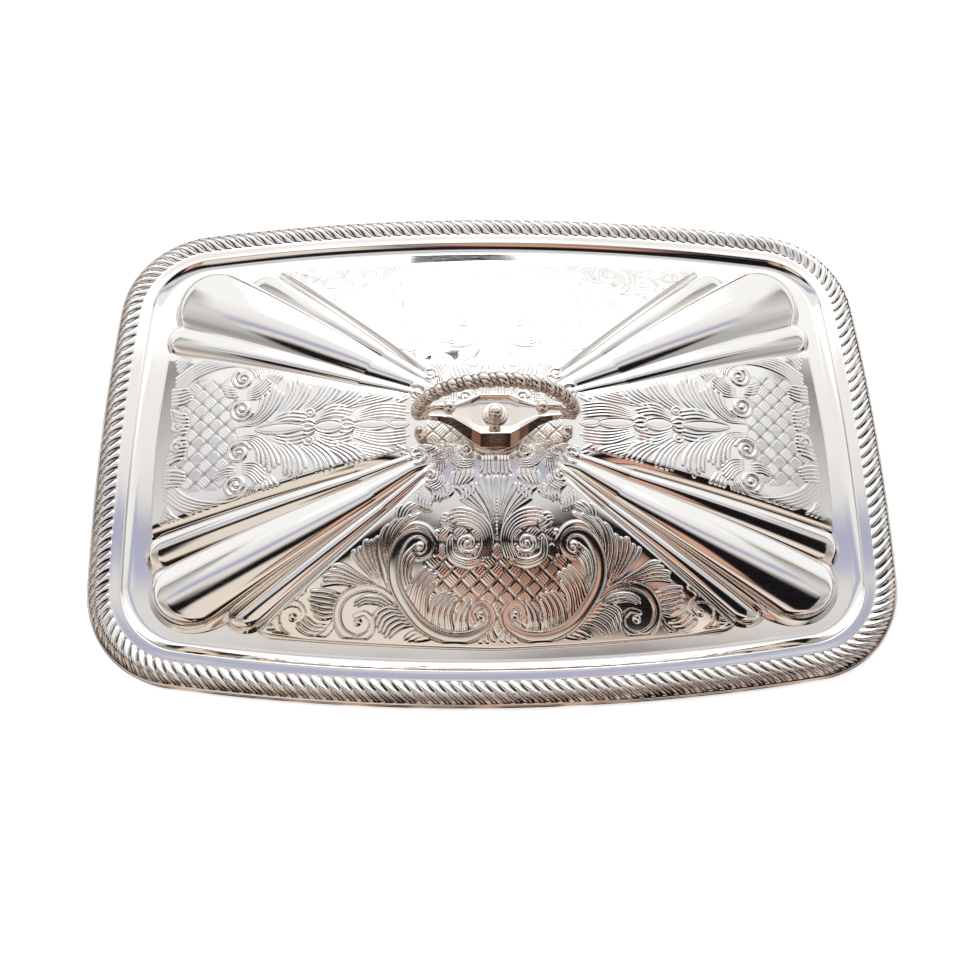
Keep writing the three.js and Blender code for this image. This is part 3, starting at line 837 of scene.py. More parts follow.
        self.fan([(29, 84.6), (27.4, 78), (24, 73.6), (20.4, 72)],
                 [(18, 89), (18.8, 83), (17, 78), (14.4, 75.4)], 4, 0.46)
        self.fan([(17.6, 88.6), (16.4, 82), (13.4, 78), (11, 75.6)],
                 [(12, 88), (12.4, 84), (11.6, 81), (10.4, 78.6)], 2, 0.42)
        self.fan([(2.2, 88), (1.2, 90.6), (1.0, 93)], [(7, 90), (8, 92), (10, 93.6)], 3, 0.36)

    def end_panel(self) -> None:
        """Ornament of the short sides: scroll pairs, husks on the axis and overlapping sprays."""
        self.volute((109.2, 10.2), 5.2, 200, 1.6, 0.6, 1.0)
        self.fan([(110.4, 1.8), (101.6, 2.4), (95.4, 7.2), (91.6, 14), (90.4, 20.6)],
                 [(109.2, 5.2), (104.6, 6.2), (101.9, 9.8), (101.6, 14.2), (102.8, 18.6)],
                 5, 0.42, flare=0.2)
        self.volute((109.4, 25.2), 4.6, 60, -1.4, 0.55, 1.1)
        self.fan([(139, 20), (131.4, 27.4), (121, 31.4), (111.6, 31.8), (105, 28.4), (103.4, 22.6)],
                 [(139.6, 30), (131.6, 35.4), (121.4, 38), (110, 37.2), (101.4, 32.4), (98.4, 25.6)],
                 5, 0.42, flare=0.1)
        self.fan([(139, 32), (134.6, 37), (129, 38.8)], [(141, 40), (137, 42), (131, 42.4)], 4, 0.36)
        self.fan([(98.6, 26), (97, 30), (93, 32)], [(93.6, 22), (90.4, 26), (86.6, 28.6)], 4, 0.42)
        fans = (((98, 3.4), (89, 5.4), (82.6, 10.8), (79.6, 17.4), (79.4, 23.6),
                 (95.4, 6.6), (91.8, 11), (90, 15.6), (90, 20.6), (92, 25)),
                ((84, 5), (76.6, 7), (70, 11.8), (66.6, 17), (65.2, 21.4),
                 (83, 9), (79.2, 13), (77, 17), (76.6, 21), (77.4, 24.6)),
                ((74, 5.4), (66.4, 7), (58.4, 10.4), (54.2, 14.6), (52.2, 18),
                 (73, 10), (68, 13), (65, 16), (63.6, 19), (64, 21.6)),
                ((62, 8), (54.4, 9.4), (47.4, 11), (43.2, 13), (40, 15.4),
                 (60, 12.4), (56, 15), (53, 16.6), (51, 17.6), (50, 19.4)))
        for fan in fans:
            self.fan(fan[:5], fan[5:], 5, 0.34)
        rows = ((97, 80, 3.2, 8.4, 3), (77, 61, 4.2, 10.4, 4), (60.5, 36.6, 3.2, 10.4, 5))
        for start, end, low, high, count in rows:
            self.fan([(start, low * 0.5), ((start + end) / 2, low), (end, low * 0.8)],
                     [(start - 1, high * 0.6), ((start + end) / 2, high), (end, high * 0.95)],
                     count, 0.34, flare=0.1)
        for root, tip, width in ((101.4, 82, 3.0), (76, 65.4, 3.6), (59.6, 45, 3.0), (45, 37.2, 2.3)):
            self.spine((root, 0), (tip, 0), width)
        for x in (79.2, 62.4):
            self.fan([(x + 3, 0.4), (x, 0.3), (x - 3, 0.2)],
                     [(x + 3.4, 3.2), (x, 4.4), (x - 3.2, 2.4)], 2, 0.42)
        self.volute((79, 6.4), 2.2, 0, 0.9, 0.42, 0.7)
        self.volute((137.4, 5), 2.8, 180, 0.9, 0.42)
        self.fan([(138, 1), (135, 0.6), (132.4, 1.4)], [(141, 14), (137, 12), (132.4, 12)], 6, 0.34)
        self.fan([(140.6, 15), (136, 15.4), (131, 18)], [(141, 24), (138, 24), (134, 24.4)], 5, 0.36)
        self.fan([(106.8, 14.6), (101, 15), (95.4, 20.5)],
                 [(106.4, 20), (103, 22.6), (100, 27.5)], 6, 0.36)
        self.fan([(110.6, 16.6), (114, 16.4), (117.4, 18)],
                 [(112.6, 21), (116, 21.6), (119.4, 24)], 4, 0.4)

    def centre(self) -> None:
        """Leaves, scrolls and small woven patches round the seat of the handle."""
        self.volute((32.8, 14.6), 4.2, 40, 1.2, 0.6, 0.95)
        self.fan([(35.6, 11.4), (29.4, 9.8), (23.4, 12.8), (20.6, 18.4), (21.6, 24.4)],
                 [(32.4, 12.6), (29, 13.2), (26.6, 15.6), (25.6, 19), (26.2, 22.4)], 5, 0.44)
        self.volute((27.4, 24), 3.0, 200, -1.2, 0.46, 0.9)
        self.fan([(21, 25), (22, 28.6), (26, 31)], [(24.4, 23.4), (26, 26.4), (30, 27.6)], 4, 0.42)
        self.fan([(37, 12), (39.6, 10.4), (42, 9.6)], [(36.6, 18), (39.4, 18.4), (43, 17)], 4, 0.4)
        self.volute((12, 12.4), 2.8, 0, 1.1, 0.46, 0.8)
        self.fan([(20.6, 9.6), (20.4, 15.6), (16, 20.4), (10, 20.2), (6.6, 16.6)],
                 [(16.6, 10.6), (16.4, 14), (14, 16.4), (11.4, 16.6), (9.6, 15)], 4, 0.42)
        self.fan([(0.6, 15), (0.7, 19), (0.5, 24)],
                 [(6, 15.4), (6.4, 20), (8.6, 23.6)], 4, 0.36, flare=0.15)
        self.fan([(8.6, 21), (9, 25), (13, 28)], [(17, 20.6), (19, 24), (19.6, 29)], 5, 0.38, flare=0.15)
        self.fan([(17.6, 27), (17.6, 31), (20.6, 33.6)],
                 [(25, 31.6), (27, 33.6), (27.4, 36)], 5, 0.36, flare=0.1)
        self.fan([(30.5, 27.5), (27, 31), (25.6, 35.6)], [(22, 27), (19.6, 31), (20, 35)], 5, 0.36)
        self.fan([(33, 31), (33.6, 35.4), (31.6, 38.8)], [(26.6, 36), (27, 38), (26, 40.6)], 5, 0.36)
        self.fan([(18, 29), (15, 32), (13.6, 36)], [(10, 26.6), (8.6, 29.6), (9.4, 33)], 4, 0.36)

    def basket(self, x: np.ndarray, y: np.ndarray) -> np.ndarray:
        """Basket weave laid at 45 degrees: square cells whose hatching alternates in direction.

        Args:
            x: Plan x.
            y: Plan y.

        Returns:
            Height of the weave at each point.
        """
        u = (x + y) / (self.weave_cell * math.sqrt(2))
        v = (x - y) / (self.weave_cell * math.sqrt(2))
        turn = (np.floor(u) + np.floor(v)) % 2
        across = np.where(turn == 0, u - np.floor(u), v - np.floor(v))
        pillow = np.sin(math.pi * (u - np.floor(u))) * np.sin(math.pi * (v - np.floor(v)))
        lines = 0.5 + 0.5 * np.cos(2 * math.pi * self.weave_cell / self.weave_line * across)
        domed = np.minimum(1, 3 * pillow)
        return self.weave_height * (2.0 * domed**0.6 + lines * domed) - self.weave_sink

    def sample(self, layer: np.ndarray, x: np.ndarray, y: np.ndarray) -> np.ndarray:
        """Bilinear value of a map at plan points, mirrored into the first quarter.

        Args:
            layer: The map.
            x: Plan x.
            y: Plan y.

        Returns:
            Its value at each point.
        """
        column = np.clip(np.abs(x) / self.pitch, 0, layer.shape[0] - 1.001)
        row = np.clip(np.abs(y) / self.pitch, 0, layer.shape[1] - 1.001)
        i, j = column.astype(int), row.astype(int)
        a, b = column - i, row - j
        return ((1 - a) * (1 - b) * layer[i, j] + a * (1 - b) * layer[i + 1, j]
                + (1 - a) * b * layer[i, j + 1] + a * b * layer[i + 1, j + 1])

    def relief(self, x: np.ndarray, y: np.ndarray) -> tuple[np.ndarray, np.ndarray]:
        """Height of the chasing and depth of its hollows at plan points.

        Args:
            x: Plan x.
            y: Plan y.

        Returns:
            Relief in millimetres, and 0 to 1 for how hollow each point lies.
        """
        height = self.sample(self.heights, x, y)
        hollow = self.sample(self.recess, x, y)
        wide, deep = np.abs(x), np.abs(y)
        side = smoothstep((31 - wide) / 2) * smoothstep((deep - 46) / 3) * smoothstep((90 - deep) / 2)
        end = smoothstep((wide - 109) / 3) * smoothstep((139 - wide) / 2) * smoothstep((27 - deep) / 3)
        seat = smoothstep((wide - 13) / 1.5) * smoothstep((29.5 - wide) / 1.5) * smoothstep((9.6 - deep) / 1)
        bare = 1 - smoothstep(self.sample(self.cover, x, y) / 0.06)
        share = np.maximum(np.maximum(side, end), seat) * bare
        weave = self.basket(x, y)
        # Towards the far side the relief is flattened and the darkening of its hollows is lightened.
        amount = self.far_fade * smoothstep((y - 20) / 14) * smoothstep((1.3 * y - wide) / 6)
        # The weave's low lines are darkened like the other hollows, partly tarnish and partly painted shade.
        hollow = np.maximum(hollow, share * np.clip(0.2 - weave * 5, 0, 1))
        return (height + share * weave) * (1 - amount), hollow * (1 - 1.2 * amount)


# Pressed sheet


class SpanKind(Enum):
    """What part of the dome a span of its foot carries."""

    PANEL = "plain stretch of a panel"
    FLUTE = "one flute"
    ROLLED_FIRST = "panel whose first side rolls into a groove"
    ROLLED_LAST = "panel whose last side rolls into a groove"


@dataclass(frozen=True)
class Span:
    """Stretch of the dome between two foot points and the two hub points that they run to."""

    foot: tuple[tuple[float, float], tuple[float, float]]
    hub: tuple[tuple[float, float], tuple[float, float]]
    bulge: float
    kind: SpanKind

    def foot_at(self, across: np.ndarray) -> np.ndarray:
        """Foot points at fractions across the span: an arc that bulges outwards.

        Args:
            across: Fractions across the span.

        Returns:
            Plan points.
        """
        a, b = (np.asarray(end, dtype=float) for end in self.foot)
        half = np.linalg.norm(b - a) / 2
        radius = (half**2 + self.bulge**2) / (2 * self.bulge)
        angle = (across - 0.5) * 2 * math.asin(min(1.0, half / radius))
        out = np.array([b[1] - a[1], a[0] - b[0]]) / (2 * half)
        rise = (radius * np.cos(angle) - (radius - self.bulge))[..., None]
        shift = (radius * np.sin(angle))[..., None]
        return (a + b) / 2 + rise * out + shift * np.array([-out[1], out[0]])

    def hub_at(self, across: np.ndarray) -> np.ndarray:
        """Hub points at fractions across the span: a straight line."""
        a, b = (np.asarray(end, dtype=float) for end in self.hub)
        return a + (b - a) * across[..., None]

    def width_at(self, share: np.ndarray) -> np.ndarray:
        """Distance between the span's sides at shares of the way from its foot to its hub.

        Args:
            share: 0 at the foot and 1 at the hub.

        Returns:
            Widths.
        """
        left, right = (np.asarray(foot) + (np.asarray(hub) - np.asarray(foot)) * share[..., None]
                       for foot, hub in zip(self.foot, self.hub))
        return np.linalg.norm(right - left, axis=2)


FOOT_END, FOOT_A, FOOT_B, FOOT_C = (146.8, 0.0), (144.9, 44.5), (142.8, 59.0), (112.0, 80.0)
FOOT_D, FOOT_E, FOOT_SIDE = (98.4, 84.6), (92.0, 87.6), (0.0, 93.8)
HUB_END, HUB_A, HUB_B, HUB_C = (38.0, 0.0), (35.0, 14.0), (33.0, 16.4), (29.0, 20.0)
HUB_D, HUB_E, HUB_SIDE = (26.5, 21.6), (24.0, 22.8), (0.0, 27.0)

END_SPAN = Span((FOOT_END, FOOT_A), (HUB_END, HUB_A), 0.3, SpanKind.ROLLED_LAST)
FIRST_FLUTE = Span((FOOT_A, FOOT_B), (HUB_A, HUB_B), 2.8, SpanKind.FLUTE)
BROAD_FLUTE = Span((FOOT_B, FOOT_C), (HUB_B, HUB_C), 14.8, SpanKind.FLUTE)
LAST_FLUTE = Span((FOOT_C, FOOT_D), (HUB_C, HUB_D), 2.8, SpanKind.FLUTE)
SIDE_EDGE_SPAN = Span((FOOT_D, FOOT_E), (HUB_D, HUB_E), 0.6, SpanKind.ROLLED_FIRST)
SIDE_SPAN = Span((FOOT_E, FOOT_SIDE), (HUB_E, HUB_SIDE), 0.9, SpanKind.PANEL)
SPANS = (END_SPAN, FIRST_FLUTE, BROAD_FLUTE, LAST_FLUTE, SIDE_EDGE_SPAN, SIDE_SPAN)


@dataclass
class CoverSheet:
    """The pressed sheet: chased panels, plain flutes, the seat of the handle, and the rim's section."""

    plan: RimPlan
    ornament: Ornament
    channel_z: float = 2.2
    dome_rise: float = 19.3
    edge_rise: float = 4.4
    side_drop: float = 2.6
    dome_power: float = 2.6
    drop_reach: float = 16.0
    panel_wall: tuple = ((-1.0, 0.0), (-0.8, 0.04), (-0.62, 0.14), (-0.5, 0.3), (-0.42, 0.6), (-0.34, 0.84),
                         (-0.2, 0.95), (0.1, 1.0))
    foot_margin: float = 0.35
    wall_end: float = 0.6
    tuck: float = 0.2
    flute_wall_run: float = 6.5
    flute_wall_power: float = 2.3
    groove_depth: float = 2.5
    groove_run_in: float = 25.0
    end_roll: float = 5.5
    side_roll: float = 2.6
    flute_camber: float = 0.17
    fillet: float = 1.0
    seat_radius: float = 14.2
    seat_lap: float = 0.3
    hole_radius: float = 2.3
    hole_chamfer: float = 0.2
    sheet: float = 1.2
    hub_fade: float = 12.0
    fade_lead: float = 7.0
    side_grid: tuple = ((20, 296), 268)
    end_grid: tuple = ((168,), 400)
    broad_grid: tuple = ((40,), 180)
    narrow_grid: tuple = ((18,), 180)
    rim_steps: tuple = (46, 22, 64, 20, 8, 96)
    channel_steps: int = 6
    under_steps: tuple = (14, 10, 24, 8, 4, 26)
    under_rows: int = 64
    rim_top: tuple = ((19.3, 2.2), (18.8, 2.24), (18.2, 2.35), (17.6, 2.54), (17.0, 2.82), (16.4, 3.15),
                      (15.8, 3.5), (15.4, 3.77), (15.1, 4.03), (14.8, 4.31), (14.6, 4.46), (14.4, 4.53),
                      (14.1, 4.56), (13.6, 4.6), (12.9, 4.68), (12.2, 4.77), (11.2, 4.91), (10.3, 5.03),
                      (9.8, 5.02), (9.6, 4.6), (9.5, 3.2), (6.0, 3.2), (1.0, 3.2), (0.62, 3.1), (0.5, 2.9),
                      (0.5, 2.2))
    rim_under: tuple = ((0.5, 2.2), (6.0, 2.2), (11.6, 2.2), (11.9, 4.0), (13.0, 4.0), (14.4, 2.9),
                        (16.0, 1.9), (17.6, 1.2), (19.5, 1.0))

    def surface(self, spans: tuple[Span, ...], columns: tuple[int, ...], rows: int, signs: tuple[int, int],
                extend: tuple[int, int] = (0, 0)) -> tuple[np.ndarray, np.ndarray]:
        """Outer surface over neighbouring spans, from just outside the foot to the handle's seat.

        The plan runs straight from foot to hub and on towards the centre. The height is the channel's
        plus wall * (crown + relief). The relief is a parabola across a flute, less a groove that fades
        out at the hub, or a groove along a rolled panel side. Near the centre the height runs smoothly
        into the flat seat, and the chasing is laid over it all.

        Args:
            spans: Spans from the X axis towards the Y axis.
            columns: Steps across each span.
            rows: Points from foot to seat.
            signs: Signs of the quarter.
            extend: Extra steps before the first span and after the last.

        Returns:
            Points by row and column, and how hollow the chasing lies at each.
        """
        parts = []
        for number, (span, steps) in enumerate(zip(spans, columns)):
            first = -extend[0] if number == 0 else 0
            last = steps + extend[1] if number == len(spans) - 1 else steps - 1
            parts.append(self.strip(span, np.arange(first, last + 1) / steps, rows, signs))
        return np.concatenate([p[0] for p in parts], axis=1), np.concatenate([p[1] for p in parts], axis=1)

    def strip(self, span: Span, across: np.ndarray, rows: int,
              signs: tuple[int, int]) -> tuple[np.ndarray, np.ndarray]:
        """Surface over one span, as described for the whole surface.

        Args:
            span: The span.
            across: Fractions across it.
            rows: Points from foot to seat.
            signs: Signs of the quarter.

        Returns:
            Points by row and column, and how hollow the chasing lies at each.
        """
        foot, hub = span.foot_at(across)[None], span.hub_at(across)[None]
        run = np.linalg.norm(foot - hub, axis=2)
        beyond = np.linalg.norm(hub, axis=2) - self.seat_radius
        inward = self.inward(run + beyond, rows)
        share = np.minimum(inward, run) / run
        past = np.maximum(inward - run, 0)
        plan = foot + (hub - foot) * share[..., None]
        plan = plan - hub / np.linalg.norm(hub, axis=2, keepdims=True) * past[..., None]
        width = span.width_at(share)
        groove = self.groove_depth * np.clip((run - inward) / self.groove_run_in, 0, 1)
        spent = np.maximum(inward - run + self.fade_lead, 0)
        fade = smoothstep(1 - spent / self.hub_fade)
        edge = np.full_like(width, np.inf)
        roll = self.end_roll if span.kind is SpanKind.ROLLED_LAST else self.side_roll
        bump = np.zeros_like(width)
        if span.kind is SpanKind.FLUTE:
            bump = (self.flute_camber * width * 4 * across * (1 - across) - groove) * fade
        if span.kind in (SpanKind.ROLLED_FIRST, SpanKind.ROLLED_LAST):
            edge = (across if span.kind is SpanKind.ROLLED_FIRST else 1 - across) * width
            bump = -groove * np.maximum(0, 1 - edge / roll)**2
        crown = self.crown(plan, np.linalg.norm(plan, axis=2) / np.linalg.norm(foot, axis=2))
        height = self.channel_z + self.wall(span.kind, inward) * (crown + bump)
        seat_z = self.channel_z + self.dome_rise
        height = height + (seat_z - height) * smoothstep(past / beyond)
        height[0] = self.channel_z - self.tuck
        chased, hollow = self.ornament.relief(plan[..., 0] * signs[0], plan[..., 1] * signs[1])
        shown = smoothstep((inward - 1.3) / 0.6)
        if span.kind is SpanKind.FLUTE:
            shown = shown * smoothstep((spent - 2.5) / 4)
        else:
            shown = shown * np.maximum(smoothstep((edge - 0.45 * roll) / 1.2), smoothstep((spent - 1) / 4))
        height = height + chased * shown
        return np.concatenate([plan * np.array(signs), height[..., None]], axis=2), hollow * shown

    def inward(self, total: np.ndarray, rows: int) -> np.ndarray:
        """Distances in from the foot of a strip's rows: close together up its wall, then even.

        Args:
            total: Distance from the foot to the seat, by column.
            rows: Points from foot to seat.

        Returns:
            Distances by row and column.
        """
        places = [place for place, _ in self.panel_wall]
        near = np.array([-self.fillet - self.foot_margin, *places, self.wall_end])
        far = np.linspace(0, 1, rows - len(near) + 1)[1:]
        return np.vstack([np.repeat(near[:, None], total.shape[1], axis=1),
                          near[-1] + (total - near[-1]) * far[:, None]])

    def crown(self, plan: np.ndarray, reach: np.ndarray) -> np.ndarray:
        """Height of the plain dome over the channel.

        It falls as 1 - reach^2.6 from the centre to the foot, and inside the long sides' panels lower
        still, by a share of reach^2.6.

        Args:
            plan: Plan points of the first quarter.
            reach: Their distances from the centre, as shares of the foot's.

        Returns:
            Heights.
        """
        border = np.array(FOOT_D) - HUB_D
        off = plan - HUB_D
        inside = (off[..., 1] * border[0] - off[..., 0] * border[1]) / np.linalg.norm(border)
        drop = self.side_drop * smoothstep(inside / self.drop_reach) * reach**self.dome_power
        return self.edge_rise + (self.dome_rise - self.edge_rise) * (1 - reach**self.dome_power) - drop

    def wall(self, kind: SpanKind, inward: np.ndarray) -> np.ndarray:
        """Share of the dome's height that its wall has reached at distances in from the foot.

        Under a flute it is a quarter of a superellipse with a quadratic fillet at its foot. Under a
        panel it is nearly upright.

        Args:
            kind: What the span carries.
            inward: Distances in from the foot.

        Returns:
            Shares from 0 to 1.
        """
        if kind is not SpanKind.FLUTE:
            return np.interp(inward, *np.array(self.panel_wall).T)
        rounded = np.where(inward < self.fillet, (inward + self.fillet)**2 / (4 * self.fillet), inward)
        left = 1 - np.clip(rounded / self.flute_wall_run, 0, 1)
        return (1 - left**self.flute_wall_power)**(1 / self.flute_wall_power)

    def piece(self, name: str, spans: tuple[Span, ...], columns: tuple[int, ...], rows: int,
              signs: tuple[int, int], extend: tuple[int, int], finish: bpy.types.Material) -> None:
        """Make one piece of the outer surface.

        Args:
            name: Name of the piece.
            spans: Spans that it covers.
            columns: Steps across each span.
            rows: Points from foot to seat.
            signs: Signs of its quarter.
            extend: 1 where a neighbour carries the surface on smoothly, so that both share a normal.
            finish: Its material.
        """
        grid, hollow = self.surface(spans, columns, rows, signs, extend)
        normals = surface_normals(grid)
        keep = slice(extend[0], grid.shape[1] - extend[1])
        skin = Skin.from_grid(grid[:, keep]).facing(True)
        skin.values["recess"] = hollow[:, keep].ravel()
        skin.normals = normals[:, keep]
        put_piece(name, skin, finish, Body.COVER, ("cover_shell",))

    def rim_ring(self) -> np.ndarray:
        """Channel, cove, ledge and flange all round: the rim's section carried along its outline.

        Returns:
            Points by step round and step outwards.
        """
        parts = [self.rim_part(span, np.arange(steps) / steps) for span, steps in zip(SPANS, self.rim_steps)]
        parts.append(self.rim_part(SIDE_SPAN, np.array([1.0])))
        return all_round(np.concatenate(parts, axis=0))

    def rim_part(self, span: Span, across: np.ndarray) -> np.ndarray:
        """Rim section carried along one span.

        Args:
            span: The span.
            across: Fractions across it.

        Returns:
            Points by step round and step outwards.
        """
        foot, hub = span.foot_at(across), span.hub_at(across)
        out = (foot - hub) / np.linalg.norm(foot - hub, axis=1, keepdims=True)
        edge, normal = self.plan.near(foot)
        inner = foot + out * (self.fillet - 0.3)
        cove = edge - normal * self.rim_top[0][0]
        t = np.linspace(0, 1, self.channel_steps, endpoint=False)[None, :, None]
        flat = inner[:, None] * (1 - t) + cove[:, None] * t
        flat = np.concatenate([flat, np.full((*flat.shape[:2], 1), self.channel_z)], axis=2)
        return np.concatenate([flat, carried(edge, normal, self.rim_top)], axis=1)

    def underside(self) -> np.ndarray:
        """Inside of the cover: the outer shape a sheet's thickness lower, and the rim's underside.

        Returns:
            Points by step inwards, from the rim to the handle's hole, and by step round.
        """
        grid = self.surface(SPANS, self.under_steps, self.under_rows, (1, 1))[0]
        grid = grid[2:].swapaxes(0, 1) - [0, 0, self.sheet]
        foot = np.concatenate([span.foot_at(np.arange(steps + (span is SIDE_SPAN)) / steps)
                               for span, steps in zip(SPANS, self.under_steps)])
        rim = carried(*self.plan.near(foot), self.rim_under)
        seat = grid[:, -1:].copy()
        seat[..., :2] *= self.hole_radius / self.seat_radius
        seat[..., 2] = self.channel_z + self.dome_rise - self.sheet
        return all_round(np.concatenate([rim, grid, seat], axis=1)).swapaxes(0, 1)

    def build(self, finish: bpy.types.Material) -> None:
        """Make every piece of the sheet.

        Args:
            finish: Its material.
        """
        pieces = (("side_panel_", (SIDE_EDGE_SPAN, SIDE_SPAN), self.side_grid, (0, 1)),
                  ("end_panel_", (END_SPAN,), self.end_grid, (1, 0)),
                  ("broad_flute_", (BROAD_FLUTE,), self.broad_grid, (0, 0)),
                  ("first_flute_", (FIRST_FLUTE,), self.narrow_grid, (0, 0)),
                  ("last_flute_", (LAST_FLUTE,), self.narrow_grid, (0, 0)))
        for signs in QUARTERS:
            where = ("north" if signs[1] > 0 else "south") + ("_east" if signs[0] > 0 else "_west")
            for name, spans, (columns, rows), extend in pieces:
                self.piece(name + where, spans, columns, rows, signs, extend, finish)
        ring = Skin.from_grid(self.rim_ring(), close_rows=True).facing(True)
        put_piece("rim_section", ring, finish, Body.COVER, ("cover_shell",))
        top, hole, rim = self.channel_z + self.dome_rise, self.hole_radius, self.seat_radius + self.seat_lap
        seat = turned([(hole, top - self.sheet), (hole, top - self.hole_chamfer),
                       (hole + self.hole_chamfer, top), (9, top), (rim, top), (rim, top - self.sheet)])
        put_piece("handle_seat", seat, finish, Body.COVER, ("cover_shell",), 40)
        under = Skin.from_grid(self.underside(), close_columns=True).facing(False)
        put_piece("cover_underside", under, finish, Body.COVER, ("cover_shell",))


# Border


@dataclass
class Border:
    """Stamped gadroon border in two soldered lengths, and the plain wire that the cover rests on."""

    plan: RimPlan
    lobes: int = 220
    slant: float = 1.02
    head: float = 10.9
    tail: float = 1.3
    curl: float = 0.55
    joint: float = 0.1
    columns: int = 17
    insets: tuple = (1.3, 1.6, 2.1, 2.8, 3.6, 4.5, 5.4, 6.3, 7.2, 8.1, 8.9, 9.6, 10.1, 10.5, 10.9)
    base_z: float = 3.2
    crest_side: float = -0.4
    crest: tuple = ((1.3, 3.35), (1.5, 4.4), (1.9, 5.2), (2.6, 5.9), (3.6, 6.5), (4.6, 6.8), (5.4, 6.82),
                    (6.4, 6.56), (8.0, 6.02), (9.4, 5.5), (10.2, 5.15), (10.9, 4.6))
    valley: tuple = ((1.3, 3.35), (1.9, 4.1), (2.8, 4.75), (3.8, 5.1), (5.0, 5.1), (6.4, 4.85), (8.0, 4.75),
                     (9.6, 4.85), (10.9, 4.6))
    wire: tuple = ((0.7, 0.0), (0.0, 1.0), (0.35, 2.05), (3.0, 2.05), (3.4, 0.9), (2.8, 0.0))
    wire_round: float = 0.45
    wire_steps: int = 520

    def height(self, phase: np.ndarray, inset: np.ndarray) -> tuple[np.ndarray, np.ndarray]:
        """Height of the border.

        A lobe is a half ellipse across its width with its crest to one side, sqrt(1 - share^2.3). It is
        round at the head and narrows to a tail that leans on its neighbour, with an almond bead between
        the tails.

        Args:
            phase: Place across the pitch, -0.5 to 0.5 from a lobe's crest.
            inset: Distance in from the outer edge.

        Returns:
            Heights above the resting surface, and 0 to 1 for how hollow each point lies.
        """
        crest = np.interp(inset, *np.array(self.crest).T)
        valley = np.interp(inset, *np.array(self.valley).T)
        length = np.clip((self.head - inset) / (self.head - self.tail), 0, 1)
        width = (0.455 - 0.24 * smoothstep((length - 0.35) / 0.65)) * np.sqrt(np.clip(length / 0.14, 0.01, 1))
        middle = 0.6 * (0.455 - np.maximum(width, 0.16)) * smoothstep(length / 0.4)
        side = self.crest_side * (1 - smoothstep((length - 0.2) / 0.5))
        off = (np.mod(phase - middle + 0.5, 1) - 0.5) / width - side
        share = off / np.where(off > 0, 1 - side, -1 - side)
        lobe = np.sqrt(np.clip(1 - share**2.3, 0, 1))
        run = np.clip((length - 0.5) / 0.5, 0, 1)
        bead_width = 0.2 * np.sqrt(np.clip(np.sin(math.pi * run), 1e-4, 1))
        beside = np.mod(phase - middle, 1) - 0.5
        bead = 0.55 * np.sqrt(np.clip(1 - (beside / bead_width)**2, 0, 1))
        full = np.maximum(lobe, bead)
        # The gaps between lobes are darkened through this hollow value: partly tarnish, partly painted shade.
        hollow = np.clip(1 - full / 0.68, 0, 1) * smoothstep((length - 0.08) / 0.25)
        return valley + (crest - valley) * full, hollow

    def length(self, start: float) -> Skin:
        """One soldered length, half way round.

        Args:
            start: Distance round the rim where it starts.

        Returns:
            The closed skin, with its flat underside.
        """
        steps = self.lobes // 2 * self.columns
        run = 2 * self.plan.quarter - self.joint
        place = np.arange(steps + 1)[:, None] / steps
        inset = np.array(self.insets)[None]
        phase = np.mod(place * self.lobes / 2 + 0.5, 1) - 0.5
        curl = self.curl * np.sin(math.pi * (self.head - inset) / (self.head - self.tail))
        along = start + run * place + self.slant * (self.head - inset) - curl
        edge, normal = self.plan.along(along)
        plan = edge - normal * inset[..., None]
        height, hollow = self.height(phase, inset)
        top = np.concatenate([plan, height[..., None]], axis=2)
        base = top[:, [-1, 0]].copy()
        base[..., 2] = self.base_z
        skin = Skin.from_grid(np.concatenate([top, base], axis=1), close_columns=True)
        skin.values["recess"] = np.concatenate([hollow, np.zeros((len(hollow), 2))], axis=1).ravel()
        return skin

    def build(self, finish: bpy.types.Material) -> None:
        """Make both lengths and the wire.

        Args:
            finish: Their material.
        """
        for name, quarter in (("gadroon_border_left", 1), ("gadroon_border_right", 3)):
            skin = self.length(quarter * self.plan.quarter + self.joint / 2).facing(True)
            put_piece(name + "_lobes", skin, finish, Body.COVER, (name,))
        edge, normal = self.plan.along(np.linspace(0, 4 * self.plan.quarter, self.wire_steps, endpoint=False))
        ring = carried(edge, normal, softened(self.wire, self.wire_round))
        skin = Skin.from_grid(ring, close_rows=True, close_columns=True).facing()
        put_piece("resting_wire", skin, finish, Body.COVER, ("rim_wire",))


# Handle


